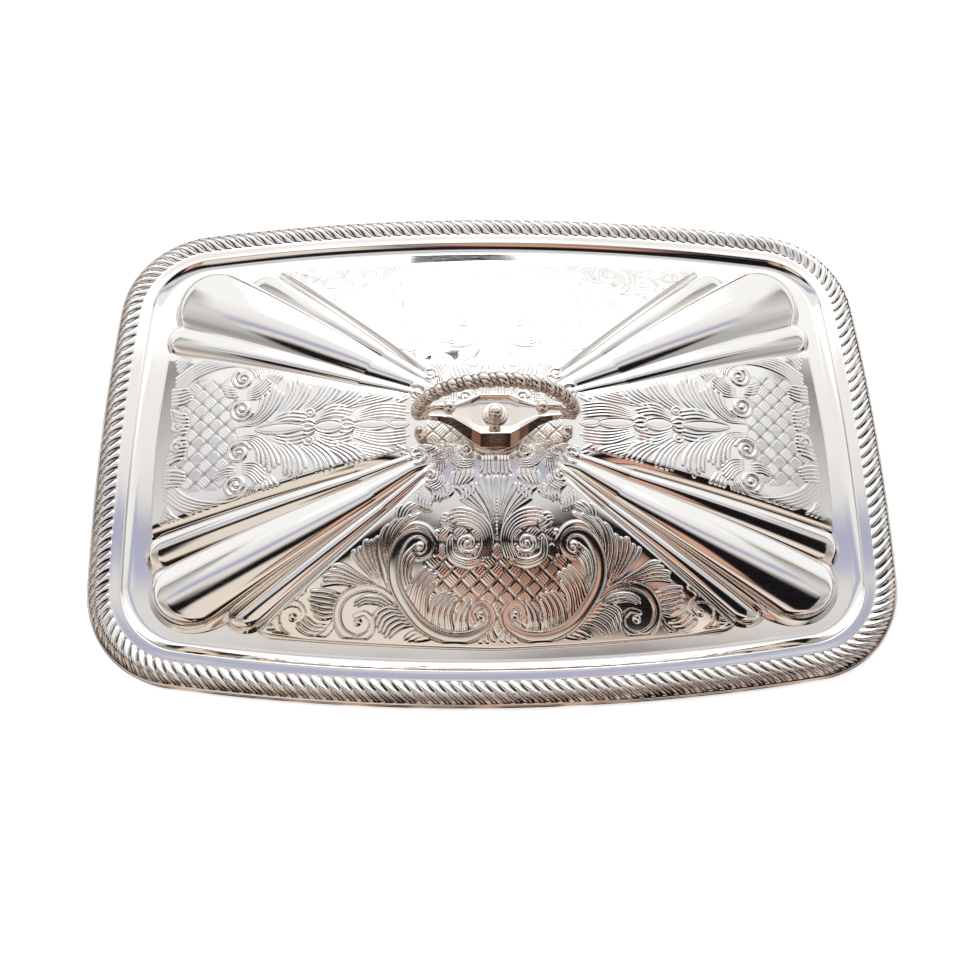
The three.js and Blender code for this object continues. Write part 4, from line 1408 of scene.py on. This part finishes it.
@dataclass
class Handle:
    """Rope-twist loop over a boat-shaped saddle, on a round moulded foot."""

    loop_radius: float = 32.0
    loop_centre_z: float = 28.5
    stretch: float = 1.035
    rope_radius: float = 3.2
    rope_end_radius: float = 2.5
    lobes: float = 16.5
    overrun: float = math.radians(3)
    ball_radius: float = 2.9
    ball_place: tuple[float, float] = (19.4, 36.5)
    neck_radius: float = 1.6
    neck_path: tuple = ((31.2, 30.6), (28.6, 33.6), (24.8, 36.8), (19.4, 36.5))
    seat_z: float = 21.6
    dish: float = 1.1
    stations: tuple = ((0, 9.4, 30, 13.0, 25.3), (6.3, 9.4, 30, 13.0, 25.3), (10, 7.4, 30.3, 10.6, 26.0),
                       (14, 5.2, 31.2, 8.0, 27.4), (18, 3.2, 32.2, 5.4, 29.2), (23, 2.1, 31.8, 3.4, 30.0),
                       (29.2, 1.6, 31.0, 2.1, 29.3), (33.3, 1.9, 30.2, 2.3, 28.4))
    boss: tuple = ((2.3, 25.5), (7.4, 25.5), (7.4, 28.7), (7.1, 28.95), (6.7, 28.95), (6.3, 28.8),
                   (2.3, 28.75))
    foot: tuple = ((2.3, 0), (14.3, 0), (14.7, 0.3), (14.7, 0.75), (14.2, 1.02), (13.4, 1.1), (13.4, 1.25),
                   (13.75, 1.45), (13.75, 1.8), (13.0, 2.02), (12.5, 2.05), (12.5, 2.2), (12.6, 2.4),
                   (12.2, 2.7), (2.3, 2.7))
    rounding: float = 0.2

    def rope(self, steps: int = 480, sides: int = 48) -> Skin:
        """Twisted loop: one fat strand wound at a steep lay, with a thin wire in the hollow between turns.

        The section's radius follows u, the share of half a turn from the strand's crest: the strand is
        0.68 + 0.32 * sqrt(1 - (u / 0.6)²) and the wire 0.68 + 0.2 * sqrt(1 - ((1 - u) / 0.36)²), the
        larger of the two. The section turns as it goes round a half ellipse a little wider than high.

        Args:
            steps: Sections along the loop.
            sides: Points round each section.

        Returns:
            The closed skin.
        """
        part = np.linspace(0, 1, steps + 1)[:, None]
        angle = -self.overrun + (math.pi + 2 * self.overrun) * part
        closing = np.clip(0.55 + 8 * np.minimum(part, 1 - part), 0, 1)
        swell = self.rope_end_radius + (self.rope_radius - self.rope_end_radius) * np.sin(math.pi * part)
        around = bearings(sides)[None]
        lay = np.abs(np.mod((around - 2 * math.pi * self.lobes * part) / math.pi + 1, 2) - 1)
        fat = 0.68 + 0.32 * np.sqrt(np.maximum(0, 1 - (lay / 0.6)**2))
        thin = 0.68 + 0.2 * np.sqrt(np.maximum(0, 1 - ((1 - lay) / 0.36)**2))
        radius = 1.05 * swell * closing * np.maximum(fat, thin)
        out = self.loop_radius + radius * np.cos(around)
        grid = np.stack([self.stretch * out * np.cos(angle), radius * np.sin(around),
                         self.loop_centre_z + out * np.sin(angle)], axis=2)
        skin = capped(grid)
        # The hollows between the strands are darkened through this value: partly tarnish, partly painted
        # shade.
        hollow = np.clip(1 - (np.maximum(fat, thin) - 0.68) / 0.24, 0, 1)
        skin.values["recess"] = np.concatenate([np.zeros(sides), hollow.ravel(), np.zeros(sides)])
        return skin

    def saddle(self) -> Skin:
        """Boat-shaped saddle: flat facets outside, a smooth dish inside and a narrow polished rim.

        Every section is the half outline (underside, outer facet, rim, dish) mirrored over the X axis.
        A station is its place along X, the rim's half width and height, and the half width and height
        of the facet's foot. Straight lines join them, which leaves the facets flat.

        Returns:
            The closed skin.
        """
        knots = np.array(self.stations, dtype=float)
        side = np.unique(np.concatenate([knots[:, 0], np.linspace(0, knots[-1, 0], 60)]))
        x = np.concatenate([-side[:0:-1], side])
        top, top_z, low, low_z = (np.interp(np.abs(x), knots[:, 0], knots[:, k]) for k in (1, 2, 3, 4))
        depth = self.dish * np.clip((top - 1.2) / 6, 0, 1)
        half = [(low * 0.55, low_z), (low, low_z), (top, top_z), (top - 0.45, top_z + 0.12)]
        half += [((top - 0.9) * share, top_z - depth * (1 - share**6)) for share in
                 (1.0, 0.96, 0.91, 0.85, 0.77, 0.66, 0.5, 0.26)]
        middle = (np.zeros_like(x), top_z - depth)
        outline = [*half, middle, *[(-y, z) for y, z in half[::-1]]]
        grid = np.stack([np.stack([x, np.broadcast_to(y, x.shape), z], axis=1) for y, z in outline], axis=1)
        return capped(grid)

    def bracket(self, side: int) -> Skin:
        """Scroll bracket: a round neck carried along its path into a ball volute.

        Args:
            side: 1 for the right and -1 for the left.

        Returns:
            Neck and ball as one skin.
        """
        path = smooth_curve([(side * x, 0.0, z) for x, z in self.neck_path], 0.4)
        way = np.gradient(path, axis=0)
        way /= np.linalg.norm(way, axis=1, keepdims=True)
        across = np.array([0.0, 1.0, 0.0])
        other = np.cross(way, across)
        turn = bearings(24)[None, :, None]
        thick = self.neck_radius * (1 + 0.12 * np.cos(np.linspace(0, 2 * math.pi, len(path))))[:, None, None]
        tube = path[:, None] + thick * (np.cos(turn) * across + np.sin(turn) * other[:, None])
        polar = np.linspace(0, math.pi, 25)[:, None]
        ball = about_axis(self.ball_radius * np.sin(polar), bearings(40)[None],
                          self.ball_radius * np.cos(polar))
        ball = ball + [side * self.ball_place[0], 0, self.ball_place[1]]
        return capped(tube).joined(Skin.from_grid(ball, close_columns=True).facing())

    def build(self, finish: bpy.types.Material) -> None:
        """Make the loop, saddle, boss, foot and brackets.

        Args:
            finish: Their material.
        """
        put_piece("rope_loop", self.rope(), finish, Body.HANDLE, ("rope_grip",))
        put_piece("boat_saddle", self.saddle(), finish, Body.HANDLE, ("handle_saddle",), 14)
        boss = turned(softened(self.boss, self.rounding))
        put_piece("saddle_boss", boss, finish, Body.HANDLE, ("handle_saddle",), 35)
        foot = turned(softened(raised(self.foot, self.seat_z), self.rounding), 128)
        put_piece("moulded_foot", foot, finish, Body.HANDLE, ("handle_foot",), 50)
        for name, side in (("right", 1), ("left", -1)):
            put_piece("scroll_" + name, self.bracket(side), finish, Body.HANDLE,
                      ("scroll_bracket_" + name,))


@dataclass
class Fixings:
    """Threaded stud with its washer and nut, and the two-part finial that holds the handle down."""

    stud_radius: float = 1.95
    stud_base: float = 16.0
    stud_tip: float = 33.6
    thread_pitch: float = 0.7
    thread_depth: float = 0.3
    thread_lead: float = 0.5
    washer: tuple = ((2.3, -1), (9, -1), (9, 0), (2.3, 0))
    washer_top: float = 20.2
    nut_top: float = 19.1
    nut_radius: float = 4.04
    nut_height: float = 2.2
    nut_bore: float = 2.1
    nut_chamfer: float = 0.45
    collar: tuple = ((2.3, 0), (5.2, 0), (5.5, 0.3), (5.4, 0.7), (4.8, 0.95), (4.1, 1.05), (4.0, 1.35),
                     (3.6, 1.5), (2.3, 1.5))
    collar_z: float = 28.8
    rounding: float = 0.2
    knob: tuple = ((2.8, 0), (2.9, 0.5), (2.55, 1), (2.95, 1.7), (3.1, 2.5), (2.85, 3.5), (1.9, 4.35),
                   (0.0, 4.7))
    knob_z: float = 30.4
    knob_bore: float = 2.1

    def stud(self) -> Skin:
        """Stud with a right-hand thread: the radius falls and rises once a pitch along a helix.

        Returns:
            The closed skin, plain and narrower at both ends.
        """
        z = np.linspace(self.stud_base, self.stud_tip, 220)
        z = np.concatenate([z[:1], z, z[-1:]])
        around = bearings(32)[None]
        phase = np.mod(z[:, None] / self.thread_pitch - around / (2 * math.pi), 1)
        cut = self.thread_depth * (1 - np.abs(2 * phase - 1))
        lead = np.clip(np.minimum(z - self.stud_base, self.stud_tip - z) / self.thread_lead, 0, 1)[:, None]
        radius = (self.stud_radius - 0.4 + 0.4 * lead) - cut * lead
        radius[[0, -1]] = 0
        return Skin.from_grid(about_axis(radius, around, z[:, None]), close_columns=True).facing()

    def nut(self) -> Skin:
        """Hexagonal nut: six flats, cut down to a circle above and below, round a plain bore.

        Returns:
            The closed skin.
        """
        around = bearings(96)[:, None]
        apothem = self.nut_radius * math.cos(math.pi / 6)
        flat = apothem / np.cos(np.mod(around, math.pi / 3) - math.pi / 6)
        low, top = self.nut_top - self.nut_height, self.nut_top
        z = np.array([low, low, low + self.nut_chamfer, top - self.nut_chamfer, top, top])[None]
        limit = np.array([self.nut_bore, apothem, np.inf, np.inf, apothem, self.nut_bore])[None]
        grid = about_axis(np.minimum(limit, flat), around, z)
        return Skin.from_grid(grid, close_rows=True, close_columns=True).facing()

    def build(self, cast: bpy.types.Material, brass: bpy.types.Material) -> None:
        """Make the fixings and the finial.

        Args:
            cast: Material of the finial.
            brass: Material of the stud, washer and nut.
        """
        put_piece("threaded_stud", self.stud(), brass, Body.COVER, ("handle_stud",))
        washer = turned(softened(raised(self.washer, self.washer_top), self.rounding))
        put_piece("wide_washer", washer, brass, Body.COVER, ("backing_washer",), 50)
        put_piece("hexagon_nut", self.nut(), brass, Body.COVER, ("backing_nut",), 25)
        collar = turned(softened(raised(self.collar, self.collar_z), self.rounding))
        put_piece("domed_collar", collar, cast, Body.COLLAR, ("finial_collar",), 50)
        bottom = self.stud_tip + 0.4
        outer = smooth_curve(raised(self.knob, self.knob_z), 0.25)
        inner = [(0.0, bottom), (self.knob_bore, bottom), (self.knob_bore, self.knob_z)]
        put_piece("finial_button", turned(np.vstack([inner, outer]), 64), cast, Body.KNOB,
                  ("finial_knob",), 50)


# Studio


@dataclass
class Studio:
    """Pale floor, white surroundings, a card with the bands that the silver mirrors, and the camera.

    A band is its place along Y in millimetres and its colour. A patch is its colour and its left, right,
    near and far edges, each as where it starts and where it is full. Those and all other places here
    are in metres, unless their name says otherwise. Noise has a scale in spots to the metre.
    """

    floor_size: float = 8.0
    floor_z: float = -0.0005
    floor_glow: float = 0.42
    floor_spots: float = 42.0
    mirrored_floor: tuple = ((0.0, "#120E0F"), (0.48, "#1E1616"), (0.54, "#B98D79"), (0.62, "#EBD5C6"))
    ceiling_size: float = 6.0
    ceiling_z: float = 0.4
    drift_spots: float = 4.0
    drift: tuple[float, float, float] = (0.16, 0.11, 0.0)
    lean: float = 0.28
    lean_edge: tuple[float, float] = (-0.05, -0.25)
    band_reach_mm: float = 900.0
    middle_bands: tuple = ((-900, "#15110F"), (-720, "#1B1614"), (-655, "#3A2B25"), (-600, "#D9B19A"),
                           (-540, "#E9D4C4"), (-480, "#F6EFE6"), (-420, "#EFE6DC"), (-350, "#C9B8AB"),
                           (-310, "#2A2424"), (-250, "#131114"), (-35, "#131215"), (-8, "#8F8684"),
                           (2, "#A59D9B"), (12, "#D0CCCA"), (30, "#E0DDDB"), (62, "#E4E2E0"), (80, "#B6B8CE"),
                           (108, "#B0B2CA"), (135, "#E6E5E4"), (175, "#F3F2F1"), (270, "#FAF9F8"),
                           (300, "#FFFFFF"))
    outer_edge: tuple[float, float] = (0.42, 0.5)
    outer_bands: tuple = ((-900, "#E9D8CB"), (-300, "#9B9A99"), (-100, "#AAA9A7"), (0, "#C6C5C2"),
                          (60, "#D0CECA"), (120, "#DEDDDA"), (200, "#CFCDCB"), (290, "#B4B2B0"),
                          (345, "#8F8D8B"), (380, "#D9D7D5"), (440, "#F4F4F0"), (600, "#FFFFFF"))
    patches: tuple = (("#D8A58F", (-0.03, 0.015), (0.13, 0.08), (-0.09, -0.14), (-0.35, -0.3)),
                      ("#E9DFD2", (-0.36, -0.26), (-0.01, -0.07), (-0.1, -0.16), (-0.6, -0.5)),
                      ("#F4F3F1", (-0.22, -0.12), (0.22, 0.12), (0.125, 0.155), (0.3, 0.22)))
    still_patches: tuple = (("#16171D", (-0.062, -0.05), (0.068, 0.02), (0.34, 0.343), (0.382, 0.377)),
                            ("#E3B79F", (0.058, 0.068), (0.105, 0.094), (-2.208, -2.195), (-2.133, -2.148)),
                            ("#7A1B20", (0.064, 0.072), (0.118, 0.11), (-2.235, -2.228), (-2.204, -2.211)))
    blob: str = "#E3B79F"
    blob_spots: float = 8.0
    blob_level: tuple[float, float] = (0.57, 0.61)
    blob_near: tuple[float, float] = (-0.95, -1.05)
    blob_side: tuple[float, float] = (0.15, 0.2)
    bright: float = 1.3
    bright_side: tuple[float, float] = (0.18, 0.3)
    bright_far: tuple[float, float] = (0.25, 0.31)
    horizon: tuple = ((0.0, "#1B1412"), (0.07, "#33251F"), (0.13, "#B98A74"), (0.2, "#E9D9CC"),
                      (0.3, "#FFFFFF"))
    soft_light: float = 0.75
    key_place: tuple[float, float, float] = (-0.5, 0.3, 1.3)
    key_size: float = 0.9
    key_watts: float = 7.0
    camera_mm: tuple[float, float, float] = (-17.684, -205.236, 445.775)
    right: tuple[float, float, float] = (0.999426, -0.019984, 0.027353)
    down: tuple[float, float, float] = (-0.008092, -0.924917, -0.380083)
    forward: tuple[float, float, float] = (0.032894, 0.379644, -0.924548)
    sensor_mm: float = 36.0
    focal_pixels: float = 1103.05
    frame_pixels: float = 980.0

    def camera(self) -> None:
        """Place the camera with the photograph's viewing angle and focal length."""
        data = bpy.data.cameras.new("camera")
        data.sensor_fit = "HORIZONTAL"
        data.sensor_width = self.sensor_mm
        data.lens = self.focal_pixels / self.frame_pixels * self.sensor_mm
        data.clip_start = 0.01
        data.clip_end = 50
        camera = bpy.data.objects.new("camera", data)
        matrix = np.eye(4)
        matrix[:3, 0] = self.right
        matrix[:3, 1] = -np.array(self.down)
        matrix[:3, 2] = -np.array(self.forward)
        matrix[:3, 3] = np.array(self.camera_mm) * MM
        camera.matrix_world = Matrix(matrix.tolist())
        bpy.context.scene.collection.objects.link(camera)
        bpy.context.scene.camera = camera

    def world(self) -> None:
        """Surround the cover with white, and with a dark near side for mirrored rays."""
        world = bpy.data.worlds.new("studio")
        world.use_nodes = True
        bpy.context.scene.world = world
        tree = world.node_tree
        tree.nodes.clear()
        seen = add_node(tree, "LightPath")
        bearing = add_node(tree, "SeparateXYZ", {0: add_node(tree, "TexCoord").outputs["Generated"]})
        around = add_node(tree, "MapRange", {"Value": bearing.outputs["Y"], "From Min": -1.0,
                                             "From Max": 1.0})
        ring = add_node(tree, "ValToRGB", {"Fac": around.outputs[0]}, self.horizon)
        lit = add_node(tree, "Background", {"Color": linear("#FFFFFF"), "Strength": self.soft_light})
        plain = add_node(tree, "Background", {"Color": linear("#FFFFFF"), "Strength": 1.0})
        mirrored = add_node(tree, "Background", {"Color": ring.outputs["Color"], "Strength": 1.0})
        soft = add_node(tree, "MixShader", {0: seen.outputs["Is Glossy Ray"], 1: lit.outputs[0],
                                            2: mirrored.outputs[0]})
        last = add_node(tree, "MixShader", {0: seen.outputs["Is Camera Ray"], 1: soft.outputs[0],
                                            2: plain.outputs[0]})
        add_node(tree, "OutputWorld", {"Surface": last.outputs[0]})

    def square(self, name: str, size: float, z: float, up: bool,
               finish: bpy.types.Material) -> bpy.types.Object:
        """Flat square centred on the vertical axis.

        Args:
            name: Name of the new object.
            size: Length of its side.
            z: Its height.
            up: Whether it faces up.
            finish: Its material.

        Returns:
            The object, linked to the scene.
        """
        half = size / 2
        mesh = bpy.data.meshes.new(name)
        mesh.from_pydata([(-half, -half, z), (half, -half, z), (half, half, z), (-half, half, z)], [],
                         [(0, 1, 2, 3) if up else (0, 3, 2, 1)])
        mesh.materials.append(finish)
        square = bpy.data.objects.new(name, mesh)
        bpy.context.scene.collection.objects.link(square)
        return square

    def patched(self, tree: bpy.types.NodeTree, under: bpy.types.NodeSocket,
                over: bpy.types.NodeSocket | tuple, limits: list) -> bpy.types.NodeSocket:
        """Lay one colour over another inside smooth limits.

        Args:
            tree: The card's node tree.
            under: Colour outside the limits.
            over: Socket of the colour inside them, or the colour.
            limits: Each a socket, the value where the patch starts and the value where it is full.

        Returns:
            The mixed colour.
        """
        share = None
        for socket, start, full in limits:
            rise = add_node(tree, "MapRange", {"Value": socket, "From Min": start, "From Max": full},
                            interpolation_type="SMOOTHSTEP").outputs[0]
            share = rise if share is None else add_node(tree, "Math", {0: share, 1: rise},
                                                        operation="MULTIPLY").outputs[0]
        mixed = add_node(tree, "Mix", {"Factor": share, "A": under, "B": over}, data_type="RGBA")
        return mixed.outputs["Result"]

    def ceiling(self) -> None:
        """Hang the card that the silver mirrors: white beyond, grey and lavender overhead, dark near.

        The card carries bands along Y, bent a little by noise and slanted over the near part, with
        patches and, far towards the near side, peach blobs. To the far left and right the bands give way
        to plain greys. The middle of its far part is brighter. Only mirrored rays see the card.
        """
        material, tree = blank_material("painted_card")
        place = add_node(tree, "TexCoord").outputs["Object"]
        noise = add_node(tree, "TexNoise", {"Vector": place, "Scale": self.drift_spots, "Detail": 2.0})
        bent = add_node(tree, "VectorMath", {0: noise.outputs["Color"], 1: (0.5, 0.5, 0.5)},
                        operation="SUBTRACT")
        moved = add_node(tree, "VectorMath", {0: bent.outputs[0], 1: self.drift, 2: place},
                         operation="MULTIPLY_ADD")
        spot = add_node(tree, "SeparateXYZ", {0: moved.outputs[0]}).outputs
        still = add_node(tree, "SeparateXYZ", {0: place}).outputs
        lean = add_node(tree, "MapRange", {"Value": spot["Y"], "From Min": self.lean_edge[0],
                                           "From Max": self.lean_edge[1], "To Max": self.lean})
        leant = add_node(tree, "Math", {0: spot["X"], 1: lean.outputs[0], 2: spot["Y"]},
                         operation="MULTIPLY_ADD")
        reach = self.band_reach_mm
        along = add_node(tree, "MapRange", {"Value": leant.outputs[0], "From Min": -reach * MM,
                                            "From Max": reach * MM})
        middle, outer = (add_node(tree, "ValToRGB", {"Fac": along.outputs[0]},
                                  [((y + reach) / (2 * reach), colour) for y, colour in row]).outputs["Color"]
                         for row in (self.middle_bands, self.outer_bands))
        side = add_node(tree, "Math", {0: spot["X"]}, operation="ABSOLUTE").outputs[0]
        bands = self.patched(tree, middle, outer, [(side, *self.outer_edge)])
        for colour, *edges in self.patches:
            bands = self.patched(tree, bands, linear(colour),
                                 [(spot[axis], *edge) for axis, edge in zip("XXYY", edges)])
        long = add_node(tree, "VectorMath", {0: place, 1: (1.0, 0.06, 1.0)}, operation="MULTIPLY")
        blobs = add_node(tree, "TexNoise", {"Vector": long.outputs[0], "Scale": self.blob_spots,
                                            "Detail": 1.0})
        bands = self.patched(tree, bands, linear(self.blob), [
            (blobs.outputs[0], *self.blob_level), (spot["Y"], *self.blob_near), (side, *self.blob_side)])
        for colour, *edges in self.still_patches:
            bands = self.patched(tree, bands, linear(colour),
                                 [(still[axis], *edge) for axis, edge in zip("XXYY", edges)])
        wide = add_node(tree, "MapRange", {
            "Value": side, "From Min": self.bright_side[0], "From Max": self.bright_side[1],
            "To Min": self.bright, "To Max": 0.0})
        high = add_node(tree, "MapRange", {"Value": spot["Y"], "From Min": self.bright_far[0],
                                           "From Max": self.bright_far[1]})
        bright = add_node(tree, "Math", {0: wide.outputs[0], 1: high.outputs[0], 2: 1.0},
                          operation="MULTIPLY_ADD")
        glow = add_node(tree, "Emission", {"Color": bands, "Strength": bright.outputs[0]})
        add_node(tree, "OutputMaterial", {"Surface": glow.outputs[0]})
        card = self.square("ceiling_card", self.ceiling_size, self.ceiling_z, False, material)
        for ray in ("camera", "diffuse", "transmission", "shadow", "volume_scatter"):
            setattr(card, "visible_" + ray, False)

    def floor(self) -> None:
        """Lay a pale matt floor, white to the camera but for the shadow, that silver mirrors as dark."""
        material, tree = blank_material("matt_paper")
        seen = add_node(tree, "LightPath")
        paper = add_node(tree, "BsdfDiffuse", {"Color": linear("#E6E6E6")})
        glow = add_node(tree, "Emission", {"Color": linear("#FFFFFF"), "Strength": self.floor_glow})
        both = add_node(tree, "AddShader", {0: paper.outputs[0], 1: glow.outputs[0]})
        place = add_node(tree, "TexCoord").outputs["Object"]
        spots = add_node(tree, "TexNoise", {"Vector": place, "Scale": self.floor_spots, "Detail": 1.0})
        tone = add_node(tree, "ValToRGB", {"Fac": spots.outputs[0]}, self.mirrored_floor)
        dim = add_node(tree, "Emission", {"Color": tone.outputs["Color"]})
        other = add_node(tree, "MixShader", {0: seen.outputs["Is Glossy Ray"], 1: paper.outputs[0],
                                             2: dim.outputs[0]})
        mixed = add_node(tree, "MixShader", {0: seen.outputs["Is Camera Ray"], 1: other.outputs[0],
                                             2: both.outputs[0]})
        add_node(tree, "OutputMaterial", {"Surface": mixed.outputs[0]})
        floor = self.square("floor", self.floor_size, self.floor_z, True, material)

    def lamp(self, name: str, place: tuple[float, float, float], size: float, power: float) -> None:
        """Hang one square soft lamp that looks at the cover.

        Args:
            name: Its name.
            place: Where it hangs.
            size: Length of its side.
            power: Its power in watts.
        """
        data = bpy.data.lights.new(name, "AREA")
        data.size = size
        data.energy = power
        lamp = bpy.data.objects.new(name, data)
        away = np.array(place) / np.linalg.norm(place)
        lamp.rotation_euler = (math.acos(away[2]), 0.0, math.atan2(away[0], -away[1]))
        lamp.location = place
        lamp.visible_glossy = False
        bpy.context.scene.collection.objects.link(lamp)

    def build(self) -> None:
        """Set up the whole studio."""
        self.camera()
        self.world()
        self.ceiling()
        self.floor()
        self.lamp("key_lamp", self.key_place, self.key_size, self.key_watts)
        bpy.context.scene.view_settings.view_transform = "Standard"


def main() -> None:
    """Load the frame and make every piece in order, logging the frame's node count and each piece's faces."""
    logging.basicConfig(level=logging.INFO, format="%(name)s %(message)s")
    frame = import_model()
    LOG.info("frame with %d nodes", len(frame["nodes"]))
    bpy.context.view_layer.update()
    Studio().build()
    plan = RimPlan()
    sheet = SilverPlate("polished_silver_plate").build()
    # The border's near-black and the finial's dark hollow colours are partly tarnish and partly painted
    # shade.
    stamped = SilverPlate("stamped_silver_plate", tarnish_and_shade="#1F1A18").build()
    cast = SilverPlate("cast_silver_plate", colour="#F0E8E1", tarnish_and_shade="#2A211D", roughness=0.06,
                       hairline_mm=0.4, wave_mm=5.0, wave_height_mm=0.01).build()
    brass = TurnedBrass().build()
    CoverSheet(plan, Ornament()).build(sheet)
    Border(plan).build(stamped)
    Handle().build(cast)
    Fixings().build(cast, brass)


if __name__ == "__main__":
    main()
